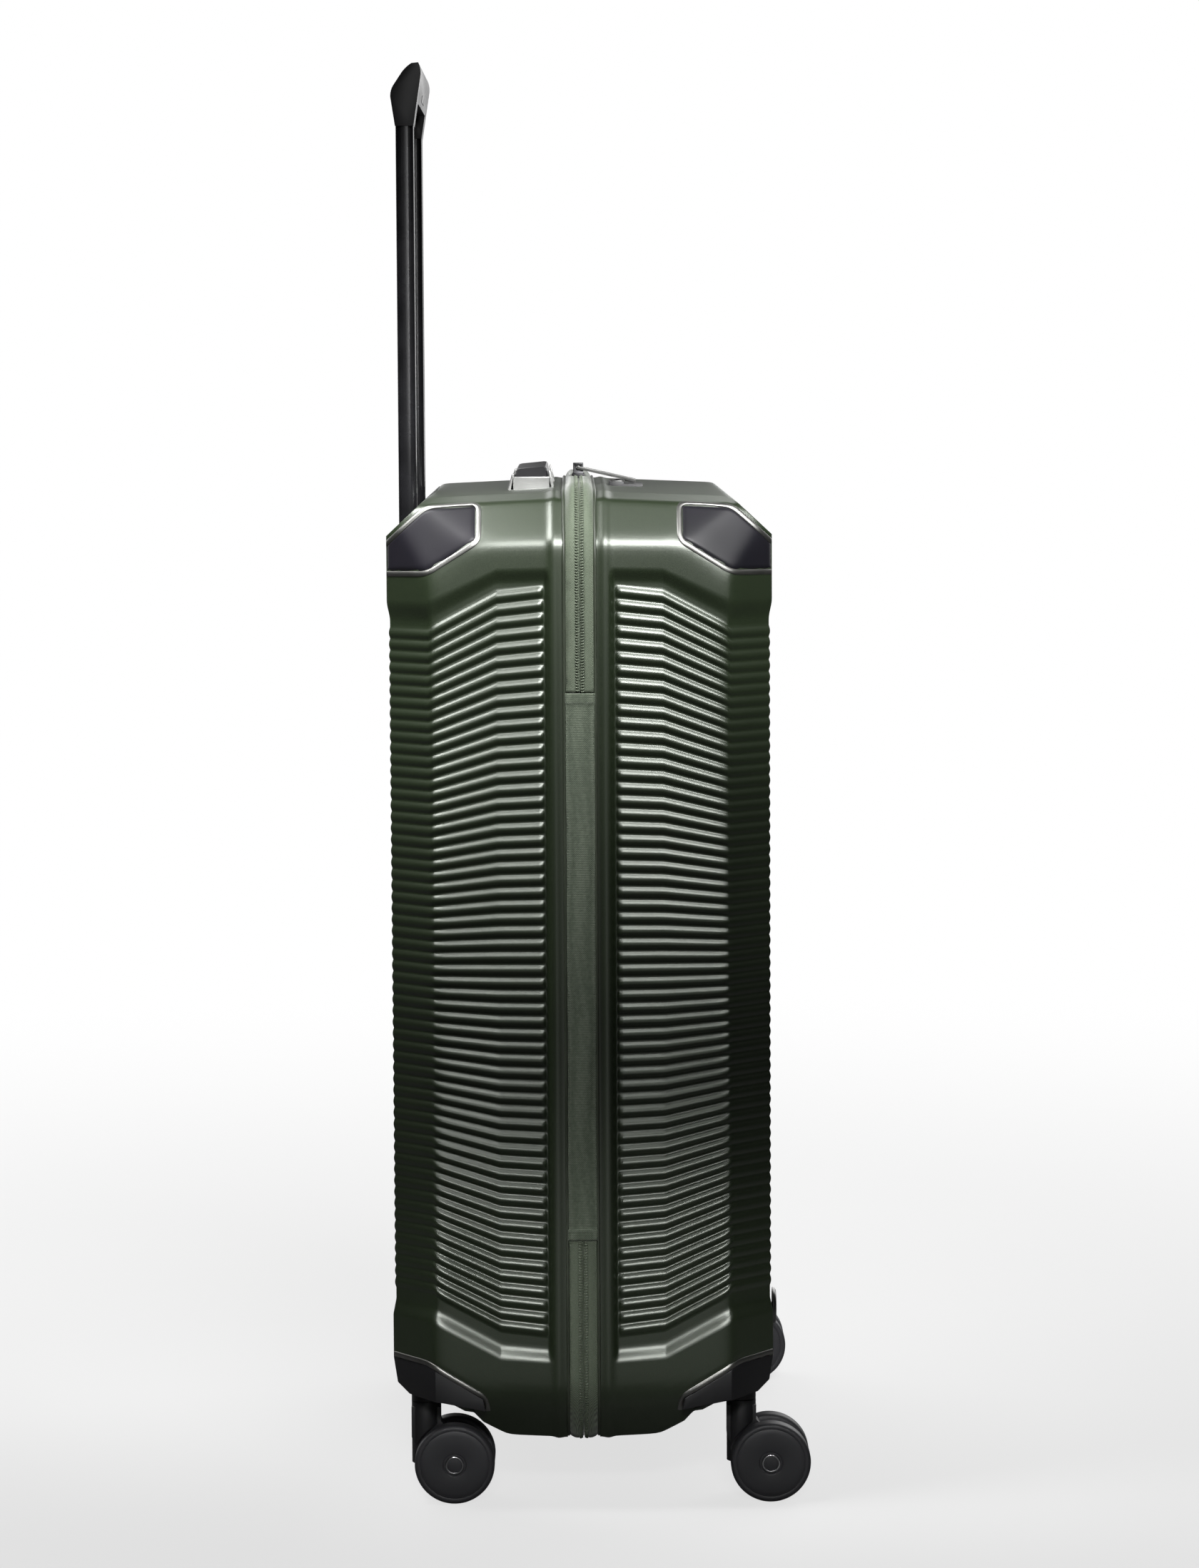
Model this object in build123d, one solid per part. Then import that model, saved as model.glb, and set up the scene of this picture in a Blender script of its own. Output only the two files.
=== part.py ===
from build123d import *

import os
from math import atan2, degrees, radians, tan

# Hard shell spinner suitcase, about 77 cm tall, with its trolley handle pulled out.
#
# Row frame: +Z up, X across the case, -Y the front. The hinge side is at -X and the trolley is at the back, +Y.
# The origin is on the floor, under the middle of the whole object's bounding box.
# The case is drawn about its own zip plane at y = 0, and save() moves every piece into the row frame.
# All sizes are in millimetres.

os.makedirs("parts", exist_ok=True)

# ---------------------------------------------------------------- driving dimensions
# Case outline, measured at the rim where the two shells meet
CASE_WIDTH = 510.0
CASE_DEPTH = 284.0
RIM_TOP = 757.0
RIM_BOTTOM = 51.0
DRAFT_DEG = 2.4
RIM_GAP = 12.0  # from the zip plane to each shell's rim
WALL = 2.5

# Chamfers of the case: (inward, vertical) or (start, end) pairs
OUTLINE_CHAMFER = (30.0, 36.0)  # side face to top and to bottom, seen from the front
EDGE_START = 110.0  # where the upright edge chamfer leaves the side face
EDGE_CHAMFER = 32.0
TOP_BEVEL = ((112.0, 753.0), (142.0, 725.0))  # top face to back face, as (y, z)
BOTTOM_BEVEL = ((57.0, 53.0), (142.0, 108.0))

# Corner pads and caster housings, as outlines in the (y, z) plane
PAD_OUTLINE = ((75, 751), (75, 723), (109, 700), (150, 700), (150, 720), (115, 751))
PAD_REACH = 33.0  # from the side face inwards
PAD_THICK = 2.0
TRIM_WIDTH = 3.0
TRIM_THICK = 1.5
HOUSING_OUTLINE = ((73, 77), (75, 86), (115, 110), (142, 111.4), (139, 93), (130, 86), (104, 83))
HOUSING_POCKET = ((73, 40), (73, 77), (75, 86), (115, 110), (160, 112.4), (160, 40))
HOUSING_REACH = 78.0

# Casters
CASTER_X = 203.0
CASTER_Y = 118.5
TRAIL = 21.5
WHEEL_RADIUS = 30.0
WHEEL_INNER = 8.0
WHEEL_OUTER = 23.0
STEM_RADIUS = 11.0
STEM_TOP = 75.0
KINGPIN_RADIUS = 4.0
KINGPIN_TOP = 93.0
AXLE_RADIUS = 3.0
CAP_RADIUS = 6.8
CAP_THICK = 1.2
RUNNING_CLEARANCE = 0.08

# Trolley
TUBE_X = 95.0
TUBE_Y = 130.0
TUBE_WIDE, TUBE_DEEP = 20.0, 14.0
TUBE_WALL = 1.2
OUTER_TUBE_GAP = 0.4
OUTER_TUBE_WALL = 1.2
OUTER_TUBE_BOTTOM, OUTER_TUBE_TOP = 122.0, 694.0
INNER_TUBE_BOTTOM = 634.0
NOTCH_HALF, NOTCH_Y, NOTCH_WALL = 116.0, 112.0, 2.5
GRIP_BOTTOM = 1030.0
GRIP_OUTLINE = ((137, 0), (141, 26), (129, 44), (124, 47), (119, 47.5), (116.5, 43), (123, 0))
GRIP_HALF = 108.0
GRIP_LEG_INNER = 80.0
GRIP_BAR_BOTTOM = 18.0
BUTTON_TRAVEL = 4.0
PIN_TRAVEL = 2.0

# Zip, hinge strip and lock
TAPE_THICK = 1.8
COIL_HALF = 3.0
COIL_PROUD = 1.6
PIPING_HALF = 1.5
STRIP_BOTTOM, STRIP_TOP = 206.0, 611.0
HINGE_X = -258.5
SLIDER_X = 11.0
EYE_Z = 770.0
PULL_LENGTH = 46.0
PULL_DROP_DEG = 13.0
LOCK_Y = -37.0
LOCK_SIZE = (66.0, 26.0, 12.5)
LOCK_TOP = 759.5
TROUGH_Z = 757.3
DIAL_RADIUS, DIAL_WIDTH = 5.5, 4.4
DIAL_Y, DIAL_Z = -31.0, 755.0
DIAL_XS = (27.0, 20.5, 14.0)

# Carry handles
TOP_HANDLE_Y = 36.0
TOP_HANDLE_HALF = 92.0
TOP_PEG_Z = 761.5
SIDE_HANDLE_Z = 430.0
SIDE_HANDLE_HALF = 95.0
SIDE_HANDLE_Y = 60.0

# The bounding box reaches from the front wheels' treads to the back face
BACK_FACE = CASE_DEPTH / 2
FRONT_REACH = CASTER_Y + TRAIL + WHEEL_RADIUS
ZIP_PLANE_Y = (FRONT_REACH - BACK_FACE) / 2


# ---------------------------------------------------------------- helpers
def save(name, *solids):
    """Writes the solids of one node, moved from the zip plane's frame into the row frame."""
    placed = [Pos(0, ZIP_PLANE_Y, 0) * s for shape in solids for s in shape.solids()]
    export_step(Compound(children=placed), f"parts/{name}.step")


def block(x, y, z):
    """A box from three (low, high) pairs."""
    size = [high - low for low, high in (x, y, z)]
    middle = [(low + high) / 2 for low, high in (x, y, z)]
    return Pos(*middle) * Box(*size)


def side_prism(outline, x_low, x_high):
    """A prism along X whose outline is in the (y, z) plane."""
    face = make_face(Polyline(*[(x_low, y, z) for y, z in outline], close=True))
    return Solid.extrude(face.face(), Vector(x_high - x_low, 0, 0))


def plan_prism(outline, z_low, z_high):
    """A prism along Z whose outline is in the (x, y) plane."""
    face = make_face(Polyline(*[(x, y, z_low) for x, y in outline], close=True))
    return Solid.extrude(face.face(), Vector(0, 0, z_high - z_low))


def front_outline(grow):
    """The case's eight-sided outline seen from the front, at the rim, grown outwards by grow."""
    half = CASE_WIDTH / 2 + grow
    top, bottom = RIM_TOP + grow, RIM_BOTTOM - grow
    inward, upright = OUTLINE_CHAMFER
    corner = grow * 0.42
    dx, dz = inward + corner, upright + corner
    right = [(half - dx, bottom), (half, bottom + dz), (half, top - dz), (half - dx, top)]
    return right + [(-x, z) for x, z in reversed(right)]


def ring(y_low, y_high, outer, inner):
    """A band that follows the front outline, between two growths of it."""
    solids = []
    for grow in (outer, inner):
        face = make_face(Polyline(*[(x, y_low, z) for x, z in front_outline(grow)], close=True))
        solids.append(Solid.extrude(face.face(), Vector(0, y_high - y_low, 0)))
    return solids[0] - solids[1]


def to_front(shape):
    """The mirror image of a back half piece, for the front half."""
    return mirror(shape, about=Plane.XZ)


def to_far(shape):
    """The mirror image of a hinge side piece, for the far side."""
    return mirror(shape, about=Plane.YZ)


def tube(x, y, z_low, z_high, wide, deep, wall):
    """A hollow rectangular tube with rounded corners, standing along Z."""
    outer = RectangleRounded(wide, deep, 3.0)
    inner = RectangleRounded(wide - 2 * wall, deep - 2 * wall, 3.0 - wall)
    return Pos(x, y, z_low) * extrude(outer - inner, z_high - z_low)


def cylinder_x(radius, x_low, x_high, y, z):
    """A cylinder along X."""
    return Pos((x_low + x_high) / 2, y, z) * Rot(0, 90, 0) * Cylinder(radius, x_high - x_low)


# ---------------------------------------------------------------- shells and their corners
def back_body(inset):
    """The back half of the case as one convex solid, with all its faces moved in by inset."""
    rim = make_face(Polyline(*[(x, RIM_GAP, z) for x, z in front_outline(-inset)], close=True))
    body = extrude(rim, amount=CASE_DEPTH, dir=(0, 1, 0), taper=DRAFT_DEG)
    (y1, z1), (y2, z2) = TOP_BEVEL
    top_slope = (z2 - z1) / (y2 - y1)
    (y3, z3), (y4, z4) = BOTTOM_BEVEL
    bottom_slope = (z4 - z3) / (y4 - y3)
    face_y = BACK_FACE - inset
    lift = inset * 1.4
    high = RIM_TOP + 50
    profile = [
        (RIM_GAP, z3 + (RIM_GAP - y3) * bottom_slope + lift),
        (RIM_GAP, high),
        (y1 + (high + lift - z1) / top_slope, high),
        (face_y, z2 + (face_y - y2) * top_slope - lift),
        (face_y, z4 + (face_y - y4) * bottom_slope + lift),
    ]
    body = body & side_prism(profile, -CASE_WIDTH, CASE_WIDTH)
    half = CASE_WIDTH / 2 - tan(radians(DRAFT_DEG)) * (EDGE_START - RIM_GAP) - inset
    start = EDGE_START - inset * 0.4
    slope_end = (half - (face_y - start), face_y)
    plan = [
        (half + 60, RIM_GAP - 1),
        (half + 60, start - 60),
        slope_end,
        (-slope_end[0], face_y),
        (-half - 60, start - 60),
        (-half - 60, RIM_GAP - 1),
    ]
    body = body & plan_prism(plan, 0, high)
    for sign in (-1, 1):
        normal = Vector(sign * 2152, 796, 888).normalized()
        point = Vector(sign * 254, 72, 721) - normal * inset
        body = split(body, Plane(origin=point, z_dir=normal), keep=Keep.BOTTOM)
    return body


def corner_region(outline):
    """The space at the hinge side's upper back corner that an outline bounds."""
    return side_prism(outline, -CASE_WIDTH / 2 - 5, -CASE_WIDTH / 2 + PAD_REACH)


def grown_pad():
    """The pad's outline with its trim frame's width added on its two inner sides."""
    w = TRIM_WIDTH
    low = 700 - w
    return ((75 - w, 751), (75 - w, 722), (108, low - 0.6), (150, low), (150, 720), (115, 751))


def make_housing():
    """The back caster housing on the hinge side: a corner wing with a socket for the stem."""
    profile = side_prism(HOUSING_OUTLINE, -CASE_WIDTH / 2 - 5, -CASE_WIDTH / 2 + HOUSING_REACH)
    plan = [(-177.2, 60), (-177.2, 142), (-219, 142), (-251, 110), (-253, 60)]
    wing = profile & plan_prism(plan, 60, 130)
    socket = Pos(-CASTER_X, CASTER_Y, (STEM_TOP + 100) / 2) * Cylinder(STEM_RADIUS, 100 - STEM_TOP)
    bore_top = KINGPIN_TOP + 1
    bore = Pos(-CASTER_X, CASTER_Y, (STEM_TOP - 1 + bore_top) / 2) * Cylinder(
        KINGPIN_RADIUS + RUNNING_CLEARANCE, bore_top - STEM_TOP + 1
    )
    return wing + socket - bore


OUTER = back_body(0)
PAD_SKIN = OUTER - back_body(PAD_THICK)
TRIM_SKIN = OUTER - back_body(TRIM_THICK)
CAVITY = back_body(WALL)

pad = corner_region(PAD_OUTLINE) & PAD_SKIN
pad_trim = (corner_region(grown_pad()) - corner_region(PAD_OUTLINE)) & TRIM_SKIN
housing = make_housing()
pocket = side_prism(HOUSING_POCKET, -CASE_WIDTH / 2 - 5, -CASE_WIDTH / 2 + HOUSING_REACH)

HOUSING_TRIM = ((70, 79), (72, 88), (113, 113), (150, 115.5), (150, 112.4), (115, 110), (75, 86), (73, 77))
housing_trim = side_prism(HOUSING_TRIM, -CASE_WIDTH / 2 - 5, -CASE_WIDTH / 2 + HOUSING_REACH) & TRIM_SKIN

shell = OUTER - CAVITY
for corner_piece in (pad, pad_trim, pocket, housing_trim):
    shell = shell - corner_piece - to_far(corner_piece)

# A shelf inside the shell closes each caster pocket
SHELF = (
    (69, 70),
    (70, 88),
    (113, 114.5),
    (BACK_FACE - 0.1, 116),
    (BACK_FACE - 0.1, 112.5),
    (115, 110.2),
    (74.8, 86.2),
    (72.8, 77),
    (72.8, 70),
)
shelf = side_prism(SHELF, -CASE_WIDTH / 2, -CASE_WIDTH / 2 + HOUSING_REACH) & CAVITY
shell = shell + shelf + to_far(shelf)


def make_lining():
    """A thin fabric tub inside the back shell."""
    tub = back_body(WALL + 0.4) - back_body(WALL + 1.6)
    keep = block((-300, 300), (RIM_GAP + 3, 118.0), (120, 800))
    low = block((-170, 170), (RIM_GAP + 3, 118.0), (0, 120))
    floor_z = (140, 705)
    floor = block((-236, 236), (117.0, 118.0), floor_z)
    return (tub & (keep + low)) + floor


# ---------------------------------------------------------------- back shell and its openings
notch = block((-NOTCH_HALF, NOTCH_HALF), (NOTCH_Y, 200), (OUTER_TUBE_TOP, 800))
handle_cup_hole = block(
    (CASE_WIDTH / 2 - 20, CASE_WIDTH / 2 + 5),
    (SIDE_HANDLE_Y - 22, SIDE_HANDLE_Y + 22),
    (SIDE_HANDLE_Z - SIDE_HANDLE_HALF - 12, SIDE_HANDLE_Z + SIDE_HANDLE_HALF + 12),
)
back_shell = shell - notch - handle_cup_hole

lock_pocket = block(
    (-LOCK_SIZE[0] / 2, LOCK_SIZE[0] / 2),
    (LOCK_Y - LOCK_SIZE[1] / 2, LOCK_Y + LOCK_SIZE[1] / 2),
    (LOCK_TOP - LOCK_SIZE[2], 780),
)
front_shell = to_front(shell) - lock_pocket

save("back_shell", back_shell)
save("front_shell", front_shell)

lining = make_lining()
side_window = block(
    (CASE_WIDTH / 2 - 22, CASE_WIDTH / 2 + 5),
    (SIDE_HANDLE_Y - 24, SIDE_HANDLE_Y + 24),
    (SIDE_HANDLE_Z - SIDE_HANDLE_HALF - 14, SIDE_HANDLE_Z + SIDE_HANDLE_HALF + 14),
)
notch_window = block((-NOTCH_HALF - 1, NOTCH_HALF + 1), (NOTCH_Y - 1, 200), (OUTER_TUBE_TOP - 1, 800))
save("back_lining", lining - side_window - notch_window)
save("front_lining", to_front(lining) - block((-36, 36), (LOCK_Y - 15, LOCK_Y + 15), (740, 780)))

for half, place in (("back", lambda s: s), ("front", to_front)):
    save(f"corner_pad_{half}_hinge_side", place(pad))
    save(f"corner_pad_{half}_far_side", to_far(place(pad)))
    trims = [place(pad_trim), to_far(place(pad_trim)), place(housing_trim), to_far(place(housing_trim))]
    save(f"trim_frames_{half}", *trims)
    save(f"caster_housing_{half}_hinge_side", place(housing))
    save(f"caster_housing_{half}_far_side", to_far(place(housing)))


# ---------------------------------------------------------------- zip, hinge strip
strip_zone = block((-300, -200), (-30, 30), (STRIP_BOTTOM, STRIP_TOP))
tape = ring(0.1, RIM_GAP, 0, -TAPE_THICK) + ring(RIM_GAP - 2 * PIPING_HALF, RIM_GAP, PIPING_HALF, 0)
coil = ring(0.05, COIL_HALF, COIL_PROUD, 0) - strip_zone
tape = tape - strip_zone
save("back_zip_tape", tape)
save("front_zip_tape", to_front(tape))
save("back_zip_coil", coil)
save("front_zip_coil", to_front(coil))

strip_half = RIM_GAP - 0.1
strip = block(
    (-CASE_WIDTH / 2 - PIPING_HALF, -CASE_WIDTH / 2 + 0.4),
    (-strip_half, strip_half),
    (STRIP_BOTTOM + 0.1, STRIP_TOP - 0.1),
)
save("hinge_strip", strip)


# ---------------------------------------------------------------- casters
def make_caster():
    """One twin wheel caster about its own swivel axis, wheels trailing towards -Y."""
    stem_low = WHEEL_RADIUS - 2
    stem = Pos(0, 0, (STEM_TOP - 0.3 + stem_low) / 2) * Cylinder(STEM_RADIUS, STEM_TOP - 0.3 - stem_low)
    arm_outline = (
        (11, STEM_TOP - 4),
        (11, 48),
        (2, 30),
        (-8, 22),
        (-TRAIL, 19),
        (-TRAIL - 9, 24),
        (-TRAIL - 9, 38),
        (-11, 60),
        (-11, STEM_TOP - 4),
    )
    arm_half = WHEEL_INNER - 0.8
    fork = stem + side_prism(arm_outline, -arm_half, arm_half)
    for low, high in ((arm_half, 30), (-30, -arm_half)):
        fork = fork - cylinder_x(WHEEL_RADIUS + 1.2, low, high, -TRAIL, WHEEL_RADIUS)
    fork = fork & (block((-11, 11), (-60, 20), (0, STEM_TOP)))
    kingpin = Pos(0, 0, (STEM_TOP - 6 + KINGPIN_TOP) / 2) * Cylinder(
        KINGPIN_RADIUS, KINGPIN_TOP - STEM_TOP + 6
    )
    fork = fork + kingpin - cylinder_x(AXLE_RADIUS, -30, 30, -TRAIL, WHEEL_RADIUS)
    fork = max(fork.solids(), key=lambda s: s.volume)

    axle = cylinder_x(AXLE_RADIUS, -WHEEL_OUTER - 0.2, WHEEL_OUTER + 0.2, -TRAIL, WHEEL_RADIUS)
    for sign in (-1, 1):
        low, high = sorted((sign * (WHEEL_OUTER + 0.2), sign * (WHEEL_OUTER + 0.2 + CAP_THICK)))
        axle = axle + cylinder_x(CAP_RADIUS, low, high, -TRAIL, WHEEL_RADIUS)

    wheel = cylinder_x(WHEEL_RADIUS, WHEEL_INNER, WHEEL_OUTER, -TRAIL, WHEEL_RADIUS)
    wheel = fillet(wheel.edges().filter_by(GeomType.CIRCLE), 2.5)
    bore = cylinder_x(AXLE_RADIUS + RUNNING_CLEARANCE, 0, 40, -TRAIL, WHEEL_RADIUS)
    wheel = wheel - bore
    return fork, axle, wheel


fork, axle, wheel = make_caster()
for half, y in (("back", CASTER_Y), ("front", -CASTER_Y)):
    for side, x in (("hinge_side", -CASTER_X), ("far_side", CASTER_X)):
        at = Pos(x, y, 0)
        save(f"caster_fork_{half}_{side}", at * fork)
        save(f"caster_axle_{half}_{side}", at * axle)
        save(f"wheel_{half}_{side}_right", at * wheel)
        save(f"wheel_{half}_{side}_left", at * to_far(wheel))


# ---------------------------------------------------------------- trolley
outer_wide = TUBE_WIDE + 2 * (OUTER_TUBE_GAP + OUTER_TUBE_WALL)
outer_deep = TUBE_DEEP + 2 * (OUTER_TUBE_GAP + OUTER_TUBE_WALL)
outer_tubes, inner_tubes, rods, pins = [], [], [], []
for x in (-TUBE_X, TUBE_X):
    outer_tubes.append(
        tube(x, TUBE_Y, OUTER_TUBE_BOTTOM, OUTER_TUBE_TOP, outer_wide, outer_deep, OUTER_TUBE_WALL)
    )
    inner = tube(x, TUBE_Y, INNER_TUBE_BOTTOM, GRIP_BOTTOM + 15, TUBE_WIDE, TUBE_DEEP, TUBE_WALL)
    plug = block(
        (x - TUBE_WIDE / 2 + TUBE_WALL, x + TUBE_WIDE / 2 - TUBE_WALL),
        (TUBE_Y - 4.4, TUBE_Y + 4.4),
        (INNER_TUBE_BOTTOM + 2, INNER_TUBE_BOTTOM + 22),
    )
    pin_hole = Pos(x, TUBE_Y, INNER_TUBE_BOTTOM + 12) * Rot(90, 0, 0) * Cylinder(3.1, 40)
    rod_hole = Pos(x, TUBE_Y, INNER_TUBE_BOTTOM + 18) * Cylinder(2.2, 14)
    pin_z = (INNER_TUBE_BOTTOM + 8, INNER_TUBE_BOTTOM + 16)
    pin_opening = block((x - 4, x + 4), (TUBE_Y - 10, TUBE_Y), pin_z)
    inner_tubes.append((inner - pin_opening) + (plug - pin_hole - rod_hole))
    pin = Pos(x, TUBE_Y - 2.6, INNER_TUBE_BOTTOM + 12) * Rot(90, 0, 0) * Cylinder(3.0, 8.4)
    pins.append(pin)
    rod_low = INNER_TUBE_BOTTOM + 20
    rod_top = GRIP_BOTTOM + 30
    rods.append(Pos(x, TUBE_Y, (rod_low + rod_top) / 2) * Cylinder(2.0, rod_top - rod_low))

w = NOTCH_WALL
socket = block((-NOTCH_HALF, NOTCH_HALF), (NOTCH_Y, BACK_FACE), (OUTER_TUBE_TOP, 800)) & OUTER
socket = socket - block((w - NOTCH_HALF, NOTCH_HALF - w), (NOTCH_Y + w, 200), (OUTER_TUBE_TOP + w, 800))
for x in (-TUBE_X, TUBE_X):
    gap = OUTER_TUBE_GAP
    socket = socket - block(
        (x - TUBE_WIDE / 2 - gap, x + TUBE_WIDE / 2 + gap),
        (TUBE_Y - TUBE_DEEP / 2 - gap, TUBE_Y + TUBE_DEEP / 2 + gap),
        (0, 800),
    )
save("trolley_outer_tubes", *outer_tubes)
save("trolley_socket", socket)
save("trolley_inner_tubes", *inner_tubes)

base_z = (OUTER_TUBE_BOTTOM - 10, OUTER_TUBE_BOTTOM + 20)
base = block((-TUBE_X - 16, TUBE_X + 16), (TUBE_Y - 9.4, TUBE_Y + 9.2), base_z)
for x in (-TUBE_X, TUBE_X):
    base = base - block(
        (x - outer_wide / 2, x + outer_wide / 2),
        (TUBE_Y - outer_deep / 2, TUBE_Y + outer_deep / 2),
        (OUTER_TUBE_BOTTOM, OUTER_TUBE_BOTTOM + 30),
    )
save("trolley_base_bracket", base)

grip_points = [(y, z + GRIP_BOTTOM) for y, z in GRIP_OUTLINE]
grip = side_prism(grip_points, -GRIP_HALF, GRIP_HALF)
grip = grip - block((-GRIP_LEG_INNER, GRIP_LEG_INNER), (100, 160), (0, GRIP_BOTTOM + GRIP_BAR_BOTTOM))
for x in (-TUBE_X, TUBE_X):
    grip = grip - block(
        (x - TUBE_WIDE / 2, x + TUBE_WIDE / 2),
        (TUBE_Y - TUBE_DEEP / 2, TUBE_Y + TUBE_DEEP / 2),
        (0, GRIP_BOTTOM + 15),
    )
bar_z = (GRIP_BOTTOM + 23, GRIP_BOTTOM + 30)
rod_channel = block((-TUBE_X - 4, TUBE_X + 4), (TUBE_Y - 4, TUBE_Y + 4), (GRIP_BOTTOM + 14, bar_z[1] + 1))
rod_channel = rod_channel - block(
    (-GRIP_LEG_INNER, GRIP_LEG_INNER), (100, 160), (0, GRIP_BOTTOM + GRIP_BAR_BOTTOM + 0.6)
)
button_half = 22.0
button_y = (119.0, 127.0)
button_hole = block((-button_half, button_half), button_y, (bar_z[0], GRIP_BOTTOM + 60))
grip = grip - rod_channel - button_hole
save("trolley_grip", grip)

crossbar = block((-TUBE_X - 3, TUBE_X + 3), (TUBE_Y - 2.5, TUBE_Y + 2.5), bar_z)
crossbar = crossbar - block((-button_half, button_half), (0, 127.6), (0, 1100))
save("trolley_push_rods", rods[0] + rods[1] + crossbar)
button = block((-button_half + 0.4, button_half - 0.4), (119.4, 126.6), (bar_z[1] - 2, GRIP_BOTTOM + 60))
button = button & side_prism([(y, z + GRIP_BOTTOM) for y, z in GRIP_OUTLINE], -40, 40)
save("grip_button", button)
save("trolley_lock_pins", *pins)


# ---------------------------------------------------------------- carry handles
YOKE_LEFT = ((17, 753), (17, 758), (20, 770), (24, 770), (24, 758))
YOKE_RIGHT = ((48, 758), (48, 770), (52, 770), (55, 758), (55, 753))
YOKE_OUTLINE = YOKE_LEFT + YOKE_RIGHT
yokes = []
for x in (-TOP_HANDLE_HALF + 6, TOP_HANDLE_HALF - 6):
    foot = side_prism(YOKE_OUTLINE, x - 9, x + 9)
    slot = block((x - 3.2, x + 3.2), (0, 80), (758.5, 768.5))
    yokes.append((foot - slot) - OUTER)
save("top_handle_brackets", *yokes)

strap = block((-TOP_HANDLE_HALF, TOP_HANDLE_HALF), (24.6, 47.4), (762, 773))
strap = fillet(strap.edges().filter_by(Axis.Y), 3.0)
pegs = [
    Pos(x, TOP_HANDLE_Y, TOP_PEG_Z) * Rot(90, 0, 0) * Cylinder(2.8, 30)
    for x in (-TOP_HANDLE_HALF + 6, TOP_HANDLE_HALF - 6)
]
save("top_handle_grip", strap + pegs[0] + pegs[1])

cup_x = (CASE_WIDTH / 2 - 19.8, CASE_WIDTH / 2 + 1.5)
cup_z = (SIDE_HANDLE_Z - SIDE_HANDLE_HALF - 11.8, SIDE_HANDLE_Z + SIDE_HANDLE_HALF + 11.8)
cup = block(cup_x, (SIDE_HANDLE_Y - 21.8, SIDE_HANDLE_Y + 21.8), cup_z)
hollow_z = (cup_z[0] + 3, cup_z[1] - 3)
cup = cup - block((cup_x[0] + 2, cup_x[1] - 2.5), (SIDE_HANDLE_Y - 18.5, SIDE_HANDLE_Y + 18.5), hollow_z)
mouth_z = (hollow_z[0] + 5, hollow_z[1] - 5)
cup = cup - block((cup_x[0] + 2, cup_x[1] + 5), (SIDE_HANDLE_Y - 18.5, SIDE_HANDLE_Y + 18.5), mouth_z)
save("side_handle_cup", cup)
bail_y = (SIDE_HANDLE_Y - 11, SIDE_HANDLE_Y + 11)
side_grip = block((cup_x[1] - 8, cup_x[1] - 0.5), bail_y, (mouth_z[0] + 1, mouth_z[1] - 1))
for end, inward in ((hollow_z[0], 1), (hollow_z[1], -1)):
    leg_z = sorted((end + inward * 6, end + inward * 14))
    flange_z = sorted((end + inward * 1, end + inward * 6))
    side_grip = side_grip + block((cup_x[0] + 2.5, cup_x[1] - 8), bail_y, leg_z)
    side_grip = side_grip + block((cup_x[0] + 2.5, cup_x[0] + 6), bail_y, flange_z)
save("side_handle_grip", side_grip)


# ---------------------------------------------------------------- sliders, pulls, lock
for side, sign in (("hinge_side", -1), ("far_side", 1)):
    x = sign * SLIDER_X
    carriage = block((x - 8, x + 8), (-5, 5), (RIM_TOP + 2.0, EYE_Z - 4.6))
    bridge = block((x - 2, x + 2), (-4, 4), (EYE_Z - 4.6, EYE_Z + 3.4))
    eye = cylinder_x(1.7, x - 4, x + 4, 0, EYE_Z)
    save(f"zip_slider_{side}", carriage + (bridge - eye))
    tab = block((-3.6, 3.6), (-PULL_LENGTH, -5.9), (-1.1, 1.1)) + cylinder_x(1.5, -3.6, 3.6, 0, 0)
    for low, high in ((-3.6, -2.3), (2.3, 3.6)):
        tab = tab + block((low, high), (-6, 0), (-1.1, 1.1))
    tab = tab + block((-2.4, 2.4), (-PULL_LENGTH + 1, -PULL_LENGTH + 8), (-2.2, -1.1))
    save(f"zip_pull_{side}", Pos(x, 0, EYE_Z) * Rot(PULL_DROP_DEG, 0, 0) * tab)

lock_y = (LOCK_Y - LOCK_SIZE[1] / 2, LOCK_Y + LOCK_SIZE[1] / 2)
lock = block((-LOCK_SIZE[0] / 2, LOCK_SIZE[0] / 2), lock_y, (LOCK_TOP - LOCK_SIZE[2], LOCK_TOP))
lock = lock - block((-50, 50), (lock_y[0] - 5, -35.5), (TROUGH_Z, 780))
for x in DIAL_XS:
    slot_x = (x - DIAL_WIDTH / 2 - 0.3, x + DIAL_WIDTH / 2 + 0.3)
    slot_y = (DIAL_Y - DIAL_RADIUS - 0.4, DIAL_Y + DIAL_RADIUS + 0.4)
    lock = lock - block(slot_x, slot_y, (DIAL_Z - DIAL_RADIUS - 0.5, 780))
lock = lock - block((-27.4, -16.6), (-34.7, -26), (LOCK_TOP - 7, 780))
dial_shaft = cylinder_x(1.2, DIAL_XS[-1] - 4, DIAL_XS[0] + 4, DIAL_Y, DIAL_Z)
save("lock_body", lock + dial_shaft)
for number, x in enumerate(DIAL_XS, 1):
    dial = cylinder_x(DIAL_RADIUS, x - DIAL_WIDTH / 2, x + DIAL_WIDTH / 2, DIAL_Y, DIAL_Z)
    bore = cylinder_x(1.2 + RUNNING_CLEARANCE, x - 5, x + 5, DIAL_Y, DIAL_Z)
    save(f"lock_dial_{number}", dial - bore)
save("lock_button", block((-27, -17), (-34.3, -26.4), (LOCK_TOP - 3.5, LOCK_TOP + 0.8)))


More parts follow.
